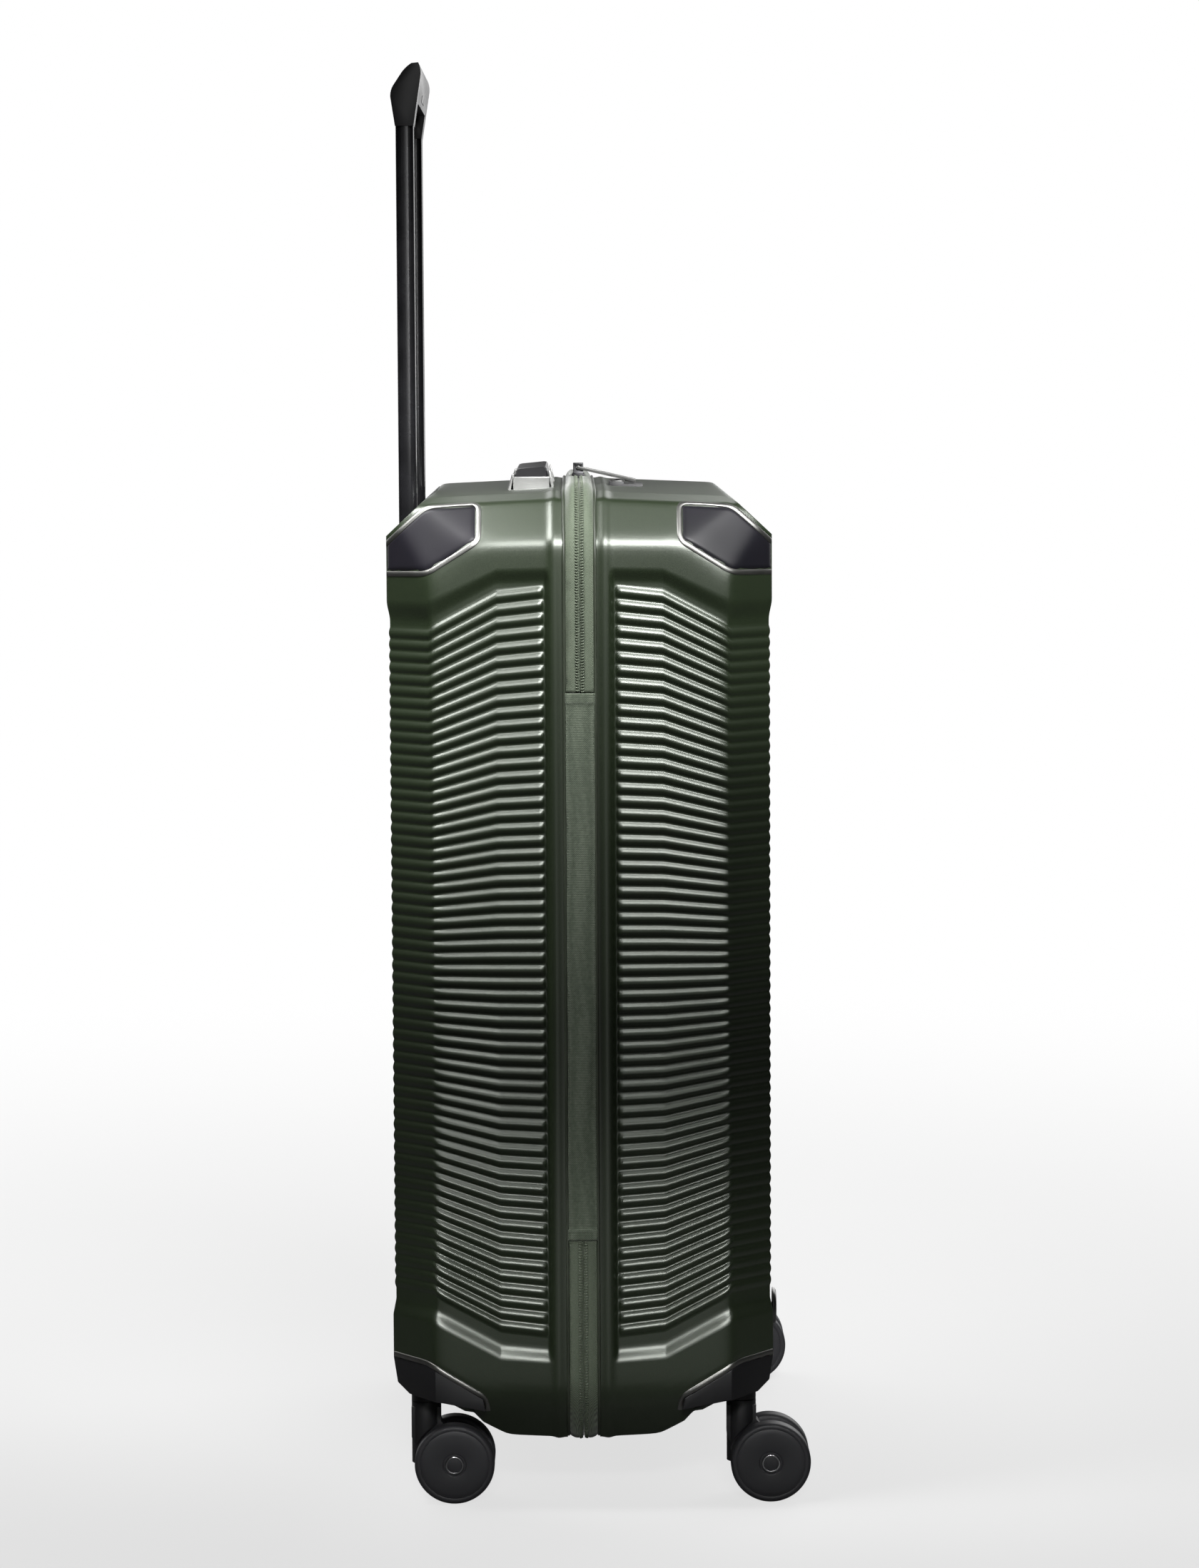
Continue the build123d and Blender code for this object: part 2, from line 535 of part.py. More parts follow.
# ---------------------------------------------------------------- packing straps and the round badge
strap_angle = degrees(atan2(440, 380))
straps = None
for sign in (-1, 1):
    band = Pos(0, 116.4, 425) * Rot(0, sign * strap_angle, 0) * Box(560, 1.2, 25)
    straps = band if straps is None else straps + band
buckle = block((-22, 22), (112.8, 115.8), (403, 447))
save("packing_straps", straps)
save("strap_buckle", buckle)

badge_centre = (-203.0, -BACK_FACE - 1.5, 145.0)
dome = Pos(*badge_centre) * Rot(90, 0, 0) * Cylinder(14, 3)
save("blank_badge", fillet(dome.edges().filter_by(GeomType.CIRCLE).sort_by(Axis.Y)[0], 2.4))
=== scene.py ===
from math import copysign, cos, pi, radians, sin, sqrt, tan

import bmesh
import bpy
import numpy as np
from mathutils import Euler, Matrix, Vector


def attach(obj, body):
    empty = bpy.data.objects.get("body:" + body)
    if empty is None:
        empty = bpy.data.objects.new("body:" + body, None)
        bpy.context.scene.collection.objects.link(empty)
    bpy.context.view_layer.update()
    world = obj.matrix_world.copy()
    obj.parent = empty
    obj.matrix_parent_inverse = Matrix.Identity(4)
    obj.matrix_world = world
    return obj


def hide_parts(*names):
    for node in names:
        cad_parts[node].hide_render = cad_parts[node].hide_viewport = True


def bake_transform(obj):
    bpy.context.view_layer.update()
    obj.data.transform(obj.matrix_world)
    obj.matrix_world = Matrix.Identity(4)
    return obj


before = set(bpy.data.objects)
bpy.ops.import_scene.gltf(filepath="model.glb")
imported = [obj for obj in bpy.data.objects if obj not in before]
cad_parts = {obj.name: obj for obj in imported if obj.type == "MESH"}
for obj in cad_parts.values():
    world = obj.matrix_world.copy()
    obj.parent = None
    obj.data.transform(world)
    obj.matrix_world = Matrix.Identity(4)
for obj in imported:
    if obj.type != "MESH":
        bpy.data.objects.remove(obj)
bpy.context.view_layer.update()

# Sizes below are in millimetres, with y measured from the zip plane; metres() moves them into the scene.
ZIP_Y = 14.0
HALVES = (("back", 1), ("front", -1))
SIDES = (("hinge_side", -1), ("far_side", 1))


def unit(vectors):
    return vectors / np.linalg.norm(vectors, axis=-1)[..., None]


def metres(points):
    p = np.asarray(points, float).reshape(-1, 3).copy()
    p[:, 1] += ZIP_Y
    return p / 1000.0


# ================================================================ materials
MATS = {}


class Nodes:
    """A small helper that builds one material's node tree."""

    def __init__(self, name):
        self.mat = bpy.data.materials.new(name)
        self.mat.use_nodes = True
        self.tree = self.mat.node_tree
        self.shader = self.tree.nodes["Principled BSDF"]
        self.coord = self.new("ShaderNodeTexCoord")
        MATS[name] = self.mat

    def new(self, kind, **values):
        n = self.tree.nodes.new(kind)
        for key, value in values.items():
            if hasattr(n, key) and key not in n.inputs:
                setattr(n, key, value)
            else:
                n.inputs[key].default_value = value
        return n

    def link(self, a, b):
        self.tree.links.new(a, b)

    def set(self, **values):
        for key, value in values.items():
            self.shader.inputs[key.replace("_", " ")].default_value = value
        return self

    def noise(self, scale, detail=3.0, rough=0.5):
        n = self.new("ShaderNodeTexNoise", Scale=scale, Detail=detail, Roughness=rough)
        self.link(self.coord.outputs["Object"], n.inputs["Vector"])
        return n.outputs["Fac"]

    def ramp(self, fac, low, high, a=0.0, b=1.0):
        n = self.new("ShaderNodeValToRGB")
        n.color_ramp.elements[0].position, n.color_ramp.elements[1].position = a, b
        n.color_ramp.elements[0].color, n.color_ramp.elements[1].color = (*low, 1), (*high, 1)
        self.link(fac, n.inputs["Fac"])
        return n.outputs["Color"]

    def spread(self, fac, low, high):
        n = self.new("ShaderNodeMapRange")
        n.inputs["To Min"].default_value, n.inputs["To Max"].default_value = low, high
        self.link(fac, n.inputs["Value"])
        return n.outputs["Result"]

    def bump(self, height, strength, distance, under=None):
        n = self.new("ShaderNodeBump", Strength=strength, Distance=distance)
        self.link(height, n.inputs["Height"])
        if under is not None:
            self.link(under, n.inputs["Normal"])
        self.link(n.outputs["Normal"], self.shader.inputs["Normal"])
        return n.outputs["Normal"]

    def wave(self, direction, scale):
        n = self.new("ShaderNodeTexWave", Scale=scale)
        n.wave_type, n.bands_direction, n.wave_profile = "BANDS", direction, "SIN"
        self.link(self.coord.outputs["Object"], n.inputs["Vector"])
        return n.outputs["Fac"]

    def colour(self, fac, low, high, a=0.0, b=1.0):
        self.link(self.ramp(fac, low, high, a, b), self.shader.inputs["Base Color"])

    def roughness(self, fac, low, high):
        self.link(self.spread(fac, low, high), self.shader.inputs["Roughness"])

    def math(self, op, a, b):
        n = self.new("ShaderNodeMath", operation=op)
        for i, value in enumerate((a, b)):
            if isinstance(value, (int, float)):
                n.inputs[i].default_value = value
            else:
                self.link(value, n.inputs[i])
        return n.outputs[0]


def satin_shell():
    m = Nodes("shell_olive")
    m.set(Metallic=0.0, IOR=1.8, Coat_Weight=0.05, Coat_Roughness=0.3, Specular_Tint=(0.95, 1.0, 0.92, 1.0))
    flake = m.noise(1600.0, 2.0, 0.75)
    cloud = m.noise(9.0, 3.0)
    both = m.math("ADD", m.math("MULTIPLY", flake, 0.75), m.math("MULTIPLY", cloud, 0.25))
    m.colour(both, (0.005, 0.0092, 0.0032), (0.018, 0.027, 0.012), 0.34, 0.68)
    m.roughness(flake, 0.31, 0.43)
    m.bump(flake, 0.16, 0.0003)


def moulded(name, low, high, rough, grain=1400.0, strength=0.12, **extra):
    m = Nodes(name)
    m.set(**extra)
    cloud = m.noise(14.0, 4.0)
    m.colour(cloud, low, high, 0.3, 0.7)
    m.roughness(m.noise(60.0, 4.0), rough - 0.05, rough + 0.07)
    m.bump(m.noise(grain, 2.0), strength, 0.0002)


def metal(name, low, high, rough, grain=0.015, metallic=1.0):
    m = Nodes(name)
    m.set(Metallic=metallic)
    m.colour(m.noise(40.0, 3.0), low, high, 0.3, 0.7)
    line = m.noise(700.0, 3.0)
    m.roughness(line, rough - 0.04, rough + 0.06)
    m.bump(line, grain, 0.00005)


def woven(name, low, high, pitch, twill=True, strength=0.5, sheen=0.3):
    """A woven fabric: pitch is the distance between yarns in metres."""
    m = Nodes(name)
    m.set(Roughness=0.85, Sheen_Weight=sheen, Sheen_Roughness=0.4)
    k = 1.0 / pitch / 3.2  # the wave texture makes 3.2 bands per unit of scale
    a = m.wave("DIAGONAL" if twill else "Z", k)
    b = m.wave("Z" if twill else "Y", k)
    c = m.wave("X", k)
    cloth = m.math("MULTIPLY", m.math("ADD", a, c), b)
    mottle = m.noise(500.0, 3.0, 0.6)
    mix = m.math("ADD", m.math("MULTIPLY", cloth, 0.35), m.math("MULTIPLY", mottle, 0.5))
    m.colour(mix, low, high, 0.2, 0.75)
    m.bump(cloth, strength, 0.00025, m.bump(mottle, 0.35, 0.0003))


def herringbone(name, low, high, pitch, column):
    """Tape woven in narrow columns of slanting yarns that turn back at each column's edge."""
    m = Nodes(name)
    m.set(Roughness=0.8, Sheen_Weight=0.35, Sheen_Roughness=0.4)
    axes = m.new("ShaderNodeSeparateXYZ")
    m.link(m.coord.outputs["Object"], axes.inputs[0])
    zigzag = m.math("PINGPONG", axes.outputs["Y"], column)
    run = m.math("ADD", m.math("ADD", axes.outputs["X"], axes.outputs["Z"]), zigzag)
    turns = m.math("SINE", m.math("MULTIPLY", run, 2 * pi / pitch), 0.0)
    yarn = m.math("MULTIPLY", m.math("ADD", turns, 1.0), 0.5)
    mottle = m.noise(700.0, 3.0, 0.6)
    mix = m.math("ADD", m.math("MULTIPLY", yarn, 0.6), m.math("MULTIPLY", mottle, 0.5))
    m.colour(mix, low, high, 0.22, 0.85)
    m.bump(yarn, 0.35, 0.00025, m.bump(mottle, 0.4, 0.0003))


satin_shell()
moulded("pad_charcoal", (0.005, 0.005, 0.007), (0.011, 0.010, 0.014), 0.43, 1200.0, 0.15, IOR=1.33)
moulded("part_black", (0.006, 0.006, 0.007), (0.013, 0.013, 0.014), 0.45)
moulded("handle_black", (0.007, 0.007, 0.008), (0.014, 0.013, 0.015), 0.32, 1500.0, 0.08)
moulded("wheel_grey", (0.022, 0.022, 0.025), (0.036, 0.036, 0.040), 0.52, 900.0, 0.10)
moulded("dial_black", (0.008, 0.008, 0.008), (0.016, 0.016, 0.016), 0.5)
metal("slider_black", (0.030, 0.030, 0.032), (0.060, 0.060, 0.062), 0.30)
moulded("dial_white", (0.55, 0.55, 0.54), (0.66, 0.66, 0.65), 0.5)
moulded("zip_coil", (0.070, 0.086, 0.058), (0.130, 0.155, 0.110), 0.42)
metal("trim_gunmetal", (0.20, 0.20, 0.19), (0.30, 0.30, 0.285), 0.40, 0.004)
metal("metal_gunmetal", (0.11, 0.11, 0.108), (0.19, 0.19, 0.185), 0.30)
metal("bracket_silver", (0.50, 0.50, 0.49), (0.66, 0.66, 0.65), 0.30, 0.002)
metal("axle_silver", (0.46, 0.46, 0.47), (0.62, 0.62, 0.63), 0.22)
metal("tube_black", (0.010, 0.010, 0.011), (0.018, 0.018, 0.020), 0.15, 0.003, 0.3)
herringbone("zip_tape", (0.042, 0.056, 0.034), (0.120, 0.145, 0.102), 0.00125, 0.0021)
woven("strip_fabric", (0.042, 0.056, 0.036), (0.130, 0.155, 0.112), 0.00075)
woven("lining_fabric", (0.030, 0.031, 0.034), (0.085, 0.087, 0.094), 0.0010, False, 0.3)
woven("strap_fabric", (0.008, 0.008, 0.008), (0.030, 0.030, 0.032), 0.0014)
moulded("piping_green", (0.018, 0.024, 0.014), (0.036, 0.044, 0.030), 0.45, 900.0, 0.2)
moulded("thread", (0.050, 0.060, 0.046), (0.085, 0.098, 0.078), 0.8)


# ================================================================ mesh helpers
def smooth_all(mesh):
    mesh.polygons.foreach_set("use_smooth", [True] * len(mesh.polygons))


def add_object(name, mesh):
    obj = bpy.data.objects.new(name, mesh)
    bpy.context.scene.collection.objects.link(obj)
    return obj


def make(name, points, faces, material, body, nodes=(), sharp=None, indices=None):
    """A mesh piece from points in zip-plane millimetres. material may be a list, with indices per face."""
    mesh = bpy.data.meshes.new(name)
    mesh.from_pydata([tuple(p) for p in metres(points)], [], [tuple(int(i) for i in f) for f in faces])
    for m in material if isinstance(material, list) else [material]:
        mesh.materials.append(MATS[m])
    if indices is not None:
        mesh.polygons.foreach_set("material_index", np.asarray(indices, np.int32))
    mesh.validate()
    bm = bmesh.new()
    bm.from_mesh(mesh)
    bmesh.ops.remove_doubles(bm, verts=bm.verts, dist=2e-6)
    if all(len(e.link_faces) == 2 for e in bm.edges):
        bmesh.ops.recalc_face_normals(bm, faces=bm.faces)
    bm.to_mesh(mesh)
    bm.free()
    smooth_all(mesh)
    if sharp is not None:
        mesh.set_sharp_from_angle(angle=radians(sharp))
    obj = add_object(name, mesh)
    if body:
        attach(obj, body)
    if nodes:
        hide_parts(*nodes)
    return obj


def grid_faces(rows, cols, start=0, flip=False, closed=False):
    """Quads of a rows x cols grid of points stored row by row."""
    quads = []
    for r in range(rows - 1):
        for c in range(cols if closed else cols - 1):
            a = start + r * cols + c
            b = start + r * cols + (c + 1) % cols
            q = (a, b, b + cols, a + cols)
            quads.append(q[::-1] if flip else q)
    return quads


def end_caps(rows, cols):
    """The two end faces of a tube of rows x cols points."""
    last = (rows - 1) * cols
    return [tuple(range(cols))[::-1], tuple(range(last, last + cols))]


def tube_faces(rows, cols):
    return grid_faces(rows, cols, closed=True) + end_caps(rows, cols)


def turned(faces, flip):
    """The faces, turned over where flip is true."""
    return [f[::-1] for f in faces] if flip else faces


def sweep(path, profile, normals, closed=False):
    """Points and faces of a profile (side, out) swept along a path whose surface normals are given."""
    path, normals = np.asarray(path, float), np.asarray(normals, float)
    n = len(path)
    tangent = np.roll(path, -1, 0) - np.roll(path, 1, 0)
    if not closed:
        tangent[0], tangent[-1] = path[1] - path[0], path[-1] - path[-2]
    tangent = unit(tangent)
    normals = unit(normals - (normals * tangent).sum(1)[:, None] * tangent)
    side = np.cross(tangent, normals)
    prof = np.asarray(profile, float)
    across, out = prof[None, :, 0, None], prof[None, :, 1, None]
    pts = path[:, None, :] + side[:, None, :] * across + normals[:, None, :] * out
    k, last = len(prof), (n - 1) * len(prof)
    faces = grid_faces(n, k, closed=True)
    if closed:
        faces += [(last + c, last + (c + 1) % k, (c + 1) % k, c) for c in range(k)]
    else:
        faces += end_caps(n, k)
    return pts.reshape(-1, 3), faces


def join(parts):
    """One (points, faces) pair from several."""
    points, faces, base = [], [], 0
    for p, f in parts:
        points.append(np.asarray(p, float).reshape(-1, 3))
        faces += [tuple(i + base for i in q) for q in f]
        base += len(points[-1])
    return np.vstack(points), faces


def circle(radius, count):
    a = np.arange(count) * 2 * pi / count
    return np.stack([np.cos(a), np.sin(a)], 1) * radius


def revolve(profile, centre, axis="x", count=96):
    """An outline of (axial, radius) points turned about an axis through centre."""
    a = np.arange(count) * 2 * pi / count
    prof = np.asarray(profile, float)
    along = np.repeat(prof[None, :, 0], count, 0)
    u = np.cos(a)[:, None] * prof[None, :, 1]
    w = np.sin(a)[:, None] * prof[None, :, 1]
    stack = {"x": (along, u, w), "y": (w, along, u), "z": (u, w, along)}[axis]
    pts = np.stack(stack, -1).reshape(-1, 3) + np.asarray(centre, float)
    k = len(prof)
    faces = grid_faces(count, k)
    last = (count - 1) * k
    faces += [(last + c, last + c + 1, c + 1, c) for c in range(k - 1)]
    return pts, faces


LONG_EDGE_M, LONG_EDGE_ANGLE, EDGE_ANGLE = 0.2, radians(18.0), radians(25.0)


def bevel_edges(bm, edges, width, segments):
    bmesh.ops.bevel(
        bm, geom=edges, offset=width / 1000, segments=segments, profile=0.5, affect="EDGES", clamp_overlap=True
    )


def rounded_copy(name, node, material, body, width, segments, long_edges=0.0):
    """A CAD node's shape with its edges rounded, as a new piece that replaces it."""
    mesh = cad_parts[node].data.copy()
    mesh.name = name
    bm = bmesh.new()
    bm.from_mesh(mesh)
    bmesh.ops.remove_doubles(bm, verts=bm.verts, dist=1e-6)
    bmesh.ops.dissolve_limit(bm, angle_limit=radians(1.0), verts=bm.verts, edges=bm.edges)
    if long_edges:
        runs = [e for e in bm.edges if e.calc_length() > LONG_EDGE_M and e.calc_face_angle(0) > LONG_EDGE_ANGLE]
        bevel_edges(bm, runs, long_edges, 5)
    edges = [e for e in bm.edges if len(e.link_faces) == 2 and e.calc_face_angle(0) > EDGE_ANGLE]
    bevel_edges(bm, edges, width, segments)
    bm.to_mesh(mesh)
    bm.free()
    mesh.materials.clear()
    mesh.materials.append(MATS[material])
    smooth_all(mesh)
    mesh.polygons.foreach_set("material_index", np.zeros(len(mesh.polygons), np.int32))
    mesh.set_sharp_from_angle(angle=radians(40))
    obj = add_object(name, mesh)
    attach(obj, body)
    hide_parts(node)


def moulded_copy(node, body, slot, width, segments, long_edges=0.0):
    rounded_copy(f"{node}_moulded", node, slot, body, width, segments, long_edges)


def thicken(obj, wall):
    """Gives a sheet its wall, in millimetres, on the inner side."""
    solid = obj.modifiers.new("wall", "SOLIDIFY")
    solid.thickness, solid.offset = wall / 1000, -1.0


def paint(node, material):
    """Gives a carried-over CAD node its finished material."""
    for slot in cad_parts[node].material_slots:
        slot.material = MATS[material]


# ================================================================ the case's surface
# The rim outline is a rectangle with cut corners, and the sides taper in from RIM_V outwards.
TAPER = tan(radians(2.4))
RIM_V, END_V = 12, 142
HALF_WIDE, BOTTOM, TOP = 255, 51, 757
CUT_X, CUT_HIGH, CUT_LOW = 30, 36, 36
HIGH_CUT_Z, LOW_CUT_Z = TOP - CUT_HIGH, BOTTOM + CUT_LOW


def softmin(values, round_mm=2.2):
    v = np.stack(np.broadcast_arrays(*values))
    low = v.min(0)
    return low - round_mm * np.log(np.exp(-(v - low) / round_mm).sum(0)) * 0.8


# The 45 degree chamfer beside the end face (x + v is constant on it), the facet at each upper corner (its
# normal and one point on it), and the steep crest where the side meets the top.
UPRIGHT_SUM = 360.9
CORNER = unit(np.array([2152.0, 796.0, 888.0]))
CORNER_POINT = np.array([254.0, 72.0, 721.0])
CREST_X, CREST_SLOPE = 206, 4.8


def side_x(v, z, inset=0.0, round_mm=2.2):
    """Distance of the side face from the middle plane at |y| = v and height z, with its chamfers."""
    t = TAPER * (v - RIM_V)
    chamfer = sqrt(CUT_HIGH**2 + CUT_X**2)
    flat = HALF_WIDE - t - inset
    upper = (CUT_HIGH * HALF_WIDE + CUT_X * HIGH_CUT_Z - chamfer * (t + inset) - CUT_X * z) / CUT_HIGH
    lower = (CUT_LOW * HALF_WIDE - CUT_X * LOW_CUT_Z - chamfer * (t + inset) + CUT_X * z) / CUT_LOW
    upright = UPRIGHT_SUM - v - inset * 1.414
    corner = (CORNER @ CORNER_POINT - inset - CORNER[1] * v - CORNER[2] * z) / CORNER[0]
    crest = CREST_X - t - inset + (TOP - t - inset - z) * CREST_SLOPE
    return softmin((flat, upper, lower, upright, corner, crest), round_mm)


def top_z(v, inset=0.0):
    bevel = 753 - (v - 112) * 28 / 30 - inset * 1.37
    return softmin((TOP - TAPER * (v - RIM_V) - inset, bevel), 1.6)


def bottom_z(v, inset=0.0):
    bevel = 53 + (v - 57) * 55 / 85 + inset * 1.19
    return -softmin((-(BOTTOM + TAPER * (v - RIM_V) + inset), -bevel), 1.6)


def curve(v, inner, kink, outer):
    """A line across the side that bends at the kink and again where the upright chamfer begins."""
    return np.interp(v, [21.5, 61, 113], [inner, kink, outer])


RIBS, PER_RIB = 58, 8
RIB_MIDDLE = 411.0


def smooth(t):
    t = np.clip(t, 0, 1)
    return t * t * (3 - 2 * t)


def shell_rows(v):
    """Heights and depths (recess, rib wave) of the side sheet's rows at |y| = v."""
    low, high = bottom_z(v), top_z(v)
    reach = curve(v, 279.4, 274.7, 247.0)
    wall_low_out, wall_low_in = curve(v, 113, 115.5, 143), curve(v, 123.5, 127.5, 155.5)
    wall_high_in, wall_high_out = curve(v, 691.5, 690, 662), curve(v, 703, 702, 678)
    z, depth, wave = [], [], []

    def add(heights, depths, waves=None):
        z.extend(heights)
        depth.extend(depths)
        wave.extend([0.0] * len(heights) if waves is None else waves)

    s = np.concatenate([[0, 0.02, 0.05], np.linspace(0.10, 0.86, 8), [0.92, 0.97, 0.995]])
    add(low + (wall_low_out - low) * s, [0.0] * len(s))
    s = np.linspace(0, 1, 9)
    add(wall_low_out + (wall_low_in - wall_low_out) * s, smooth(s))
    start = RIB_MIDDLE - reach
    s = np.array([0.25, 0.6, 0.88])
    add(wall_low_in + (start - wall_low_in) * s, [1.0] * 3)
    f = np.arange(RIBS * PER_RIB + 1) / PER_RIB
    phase = f - np.floor(f)
    ridge = (np.sin(pi * phase)) ** 1.15
    add(start + f * 2 * reach / RIBS, [1.0] * len(f), ridge)
    end = RIB_MIDDLE + reach
    add([end + (wall_high_in - end) * 0.5], [1.0])
    s = np.linspace(0, 1, 9)
    add(wall_high_in + (wall_high_out - wall_high_in) * s, 1 - smooth(s))
    s = np.concatenate([[0.01, 0.06, 0.14], np.linspace(0.22, 0.86, 12), [0.895, 0.925, 0.95, 0.972, 0.989, 1.0]])
    add(wall_high_out + (high - wall_high_out) * s, [0.0] * len(s))
    return np.array(z), np.array(depth), np.array(wave)


COLUMNS = np.array(
    [12, 12.5, 13.4, 14.6, 16, 17.5, 19, 20.5, 21.5, 22.4, 23.3, 24.2, 25.1, 26, 27, 28.4, 31, 36, 42, 48, 54, 58,
     60, 61, 62, 64, 69, 75, 82, 89, 96, 102, 106, 108.5, 110, 111.5, 113, 114.5, 118, 123, 128, 133, 137, 139.5,
     141, 142]
)
FACE_COLUMNS = np.concatenate([[-1, -0.994, -0.98, -0.955], np.linspace(-0.9, 0.9, 25), [0.955, 0.98, 0.994, 1]])


def recess_depth(v):
    inner = smooth((v - 21.5) / 4.5)
    return inner * np.interp(v, [0, 106, 142], [4.0, 4.0, 2.5])


def rib_height(v):
    grow = smooth((v - 26.0) / 2.2)
    return grow * np.interp(v, [0, 104, 114, 142], [2.5, 2.5, 1.4, 1.0])


def shell_sheets():
    """The half shell's outer sheets for y > 0: points, faces and how far each point moves inwards."""
    zs, depths, waves = zip(*(shell_rows(v) for v in COLUMNS))
    z = np.array(zs).T
    recess = np.array(depths).T * recess_depth(COLUMNS)[None, :]
    wave = np.array(waves).T * rib_height(COLUMNS)[None, :]
    rows, cols = z.shape
    v = np.repeat(COLUMNS[None, :], rows, 0)
    x = side_x(v, z)
    bump = recess - wave
    points, push, faces = [], [], []
    # a soft roll just behind the piping
    bead = -1.1 * np.exp(-(((COLUMNS - 18.6) / 3.6) ** 2))[None, :] * np.ones((rows, 1))
    bump = bump + bead
    points.append(np.stack([x, v, z], -1).reshape(-1, 3))
    points.append(np.stack([-x, v, z], -1).reshape(-1, 3))
    push += [bump.ravel(), bump.ravel()]
    n = rows * cols
    faces += grid_faces(rows, cols, 0)
    faces += grid_faces(rows, cols, n, flip=True)
    right = np.arange(n).reshape(rows, cols)
    left = right + n
    base = 2 * n

    def sheet(left_line, right_line, extra_push, flip):
        """Fills between matching edges of the two side sheets, given as lines of point numbers."""
        nonlocal base
        middle = FACE_COLUMNS[1:-1]
        a, b = np.vstack(points)[left_line], np.vstack(points)[right_line]
        w = ((middle + 1) / 2)[None, :, None]
        pts = a[:, None, :] * (1 - w) + b[:, None, :] * w
        points.append(pts.reshape(-1, 3))
        push.append(np.repeat(extra_push[:, None], len(middle), 1).ravel())
        inner = np.arange(len(left_line) * len(middle)).reshape(len(left_line), -1) + base
        index = np.hstack([left_line[:, None], inner, right_line[:, None]])
        base += inner.size
        for r in range(index.shape[0] - 1):
            for c in range(index.shape[1] - 1):
                q = (index[r, c], index[r, c + 1], index[r + 1, c + 1], index[r + 1, c])
                faces.append(q[::-1] if flip else q)

    sheet(left[:, -1], right[:, -1], bump[:, -1], True)
    sheet(left[-1, :], right[-1, :], bead[0], False)
    sheet(left[0, :], right[0, :], bead[0], True)
    return np.vstack(points), faces, np.concatenate(push)


def weld(points, faces, push):
    """Merges points that sit at one place, and keeps their push."""
    key = np.round(points * 50).astype(np.int64)
    _, first, back = np.unique(key, axis=0, return_index=True, return_inverse=True)
    back = back.ravel()
    kept = []
    for f in faces:
        g = []
        for i in f:
            j = int(back[i])
            if j not in g:
                g.append(j)
        if len(g) > 2:
            kept.append(tuple(g))
    return points[first], kept, push[first]


def vertex_normals(points, faces):
    normal = np.zeros_like(points)
    for f in faces:
        p = points[list(f)]
        n = np.cross(p[2] - p[0], p[3 % len(p)] - p[1])
        n /= np.linalg.norm(n) + 1e-9
        for i in f:
            normal[i] += n
    return normal / (np.linalg.norm(normal, axis=1)[:, None] + 1e-9)


def pad_low(v):
    """Height of the corner pad's lower edge."""
    return np.interp(v, [75, 112, 142], [723, 700, 699])


# The trolley's notch (half width, near y, lowest z), and the side handle's window (y range, z range).
NOTCH = (116.0, 112.0, 694.0)
SIDE_CUP = ((38.2, 81.8), (323.2, 536.8))


def cut_window(bm, low, high):
    """Cuts a box-shaped window, in zip-plane millimetres, with clean straight edges."""
    low, high = metres([low])[0], metres([high])[0]

    def near(face, margin):
        c = face.calc_center_median()
        return all(low[i] - margin < c[i] < high[i] + margin for i in range(3))

    for axis in range(3):
        for level in (low[axis], high[axis]):
            faces = [f for f in bm.faces if near(f, 0.025)]
            around = {v for f in faces for v in f.verts} | {e for f in faces for e in f.edges} | set(faces)
            normal = [1.0 if i == axis else 0.0 for i in range(3)]
            centre = [level if i == axis else 0.0 for i in range(3)]
            bmesh.ops.bisect_plane(bm, geom=list(around), plane_co=centre, plane_no=normal, dist=1e-6)
    bmesh.ops.delete(bm, geom=[f for f in bm.faces if near(f, 0.0)], context="FACES")


def make_shell(half):
    points, faces, push = weld(*shell_sheets())
    normal = vertex_normals(points, faces)
    points = points - normal * push[:, None]
    points[:, 1] = np.minimum(points[:, 1], END_V)
    x, v, z = np.abs(points[:, 0]), points[:, 1], points[:, 2]
    under_pad = (v > 77) & (z > pad_low(v) + 2) & (z < top_z(v) - 7.5) & (x > 218)
    wing = np.interp(v, [73, 75, 115, 142], [77, 86, 110, 111.4])
    under_housing = (v > 75) & (z < wing - 1.5) & (x > 180)
    points[under_pad] -= normal[under_pad] * 1.6
    points[under_housing] -= normal[under_housing] * 3.0
    if half == "front":
        points[:, 1] *= -1
    faces = turned(faces, half == "front")
    obj = make(f"shell_{half}_ribbed", points, faces, "shell_olive", f"{half}_case", [f"{half}_shell"])
    if half == "back":
        bm = bmesh.new()
        bm.from_mesh(obj.data)
        cut_window(bm, (-NOTCH[0], NOTCH[1], NOTCH[2]), (NOTCH[0], 150.0, 770.0))
        cut_window(bm, (200.0, SIDE_CUP[0][0], SIDE_CUP[1][0]), (270.0, SIDE_CUP[0][1], SIDE_CUP[1][1]))
        bm.to_mesh(obj.data)
        bm.free()
    thicken(obj, 2.2)


make_shell("back")
make_shell("front")


# ================================================================ corner pads and trims
def surface_point(v, z):
    return np.stack([side_x(v, z), v, z], -1)


def surface_normal(v, z):
    e = 0.4
    dv = (side_x(v + e, z) - side_x(v - e, z)) / (2 * e)
    dz = (side_x(v, z + e) - side_x(v, z - e)) / (2 * e)
    return unit(np.stack([np.ones_like(dv), -dv, -dz], -1))


def place(points, side, half):
    """Moves far side back half points to the asked corner, and says if the faces turn over."""
    p = np.array(points, float).reshape(-1, 3)
    if side == "hinge_side":
        p[:, 0] *= -1
    if half == "front":
        p[:, 1] *= -1
    return p, (side == "hinge_side") != (half == "front")


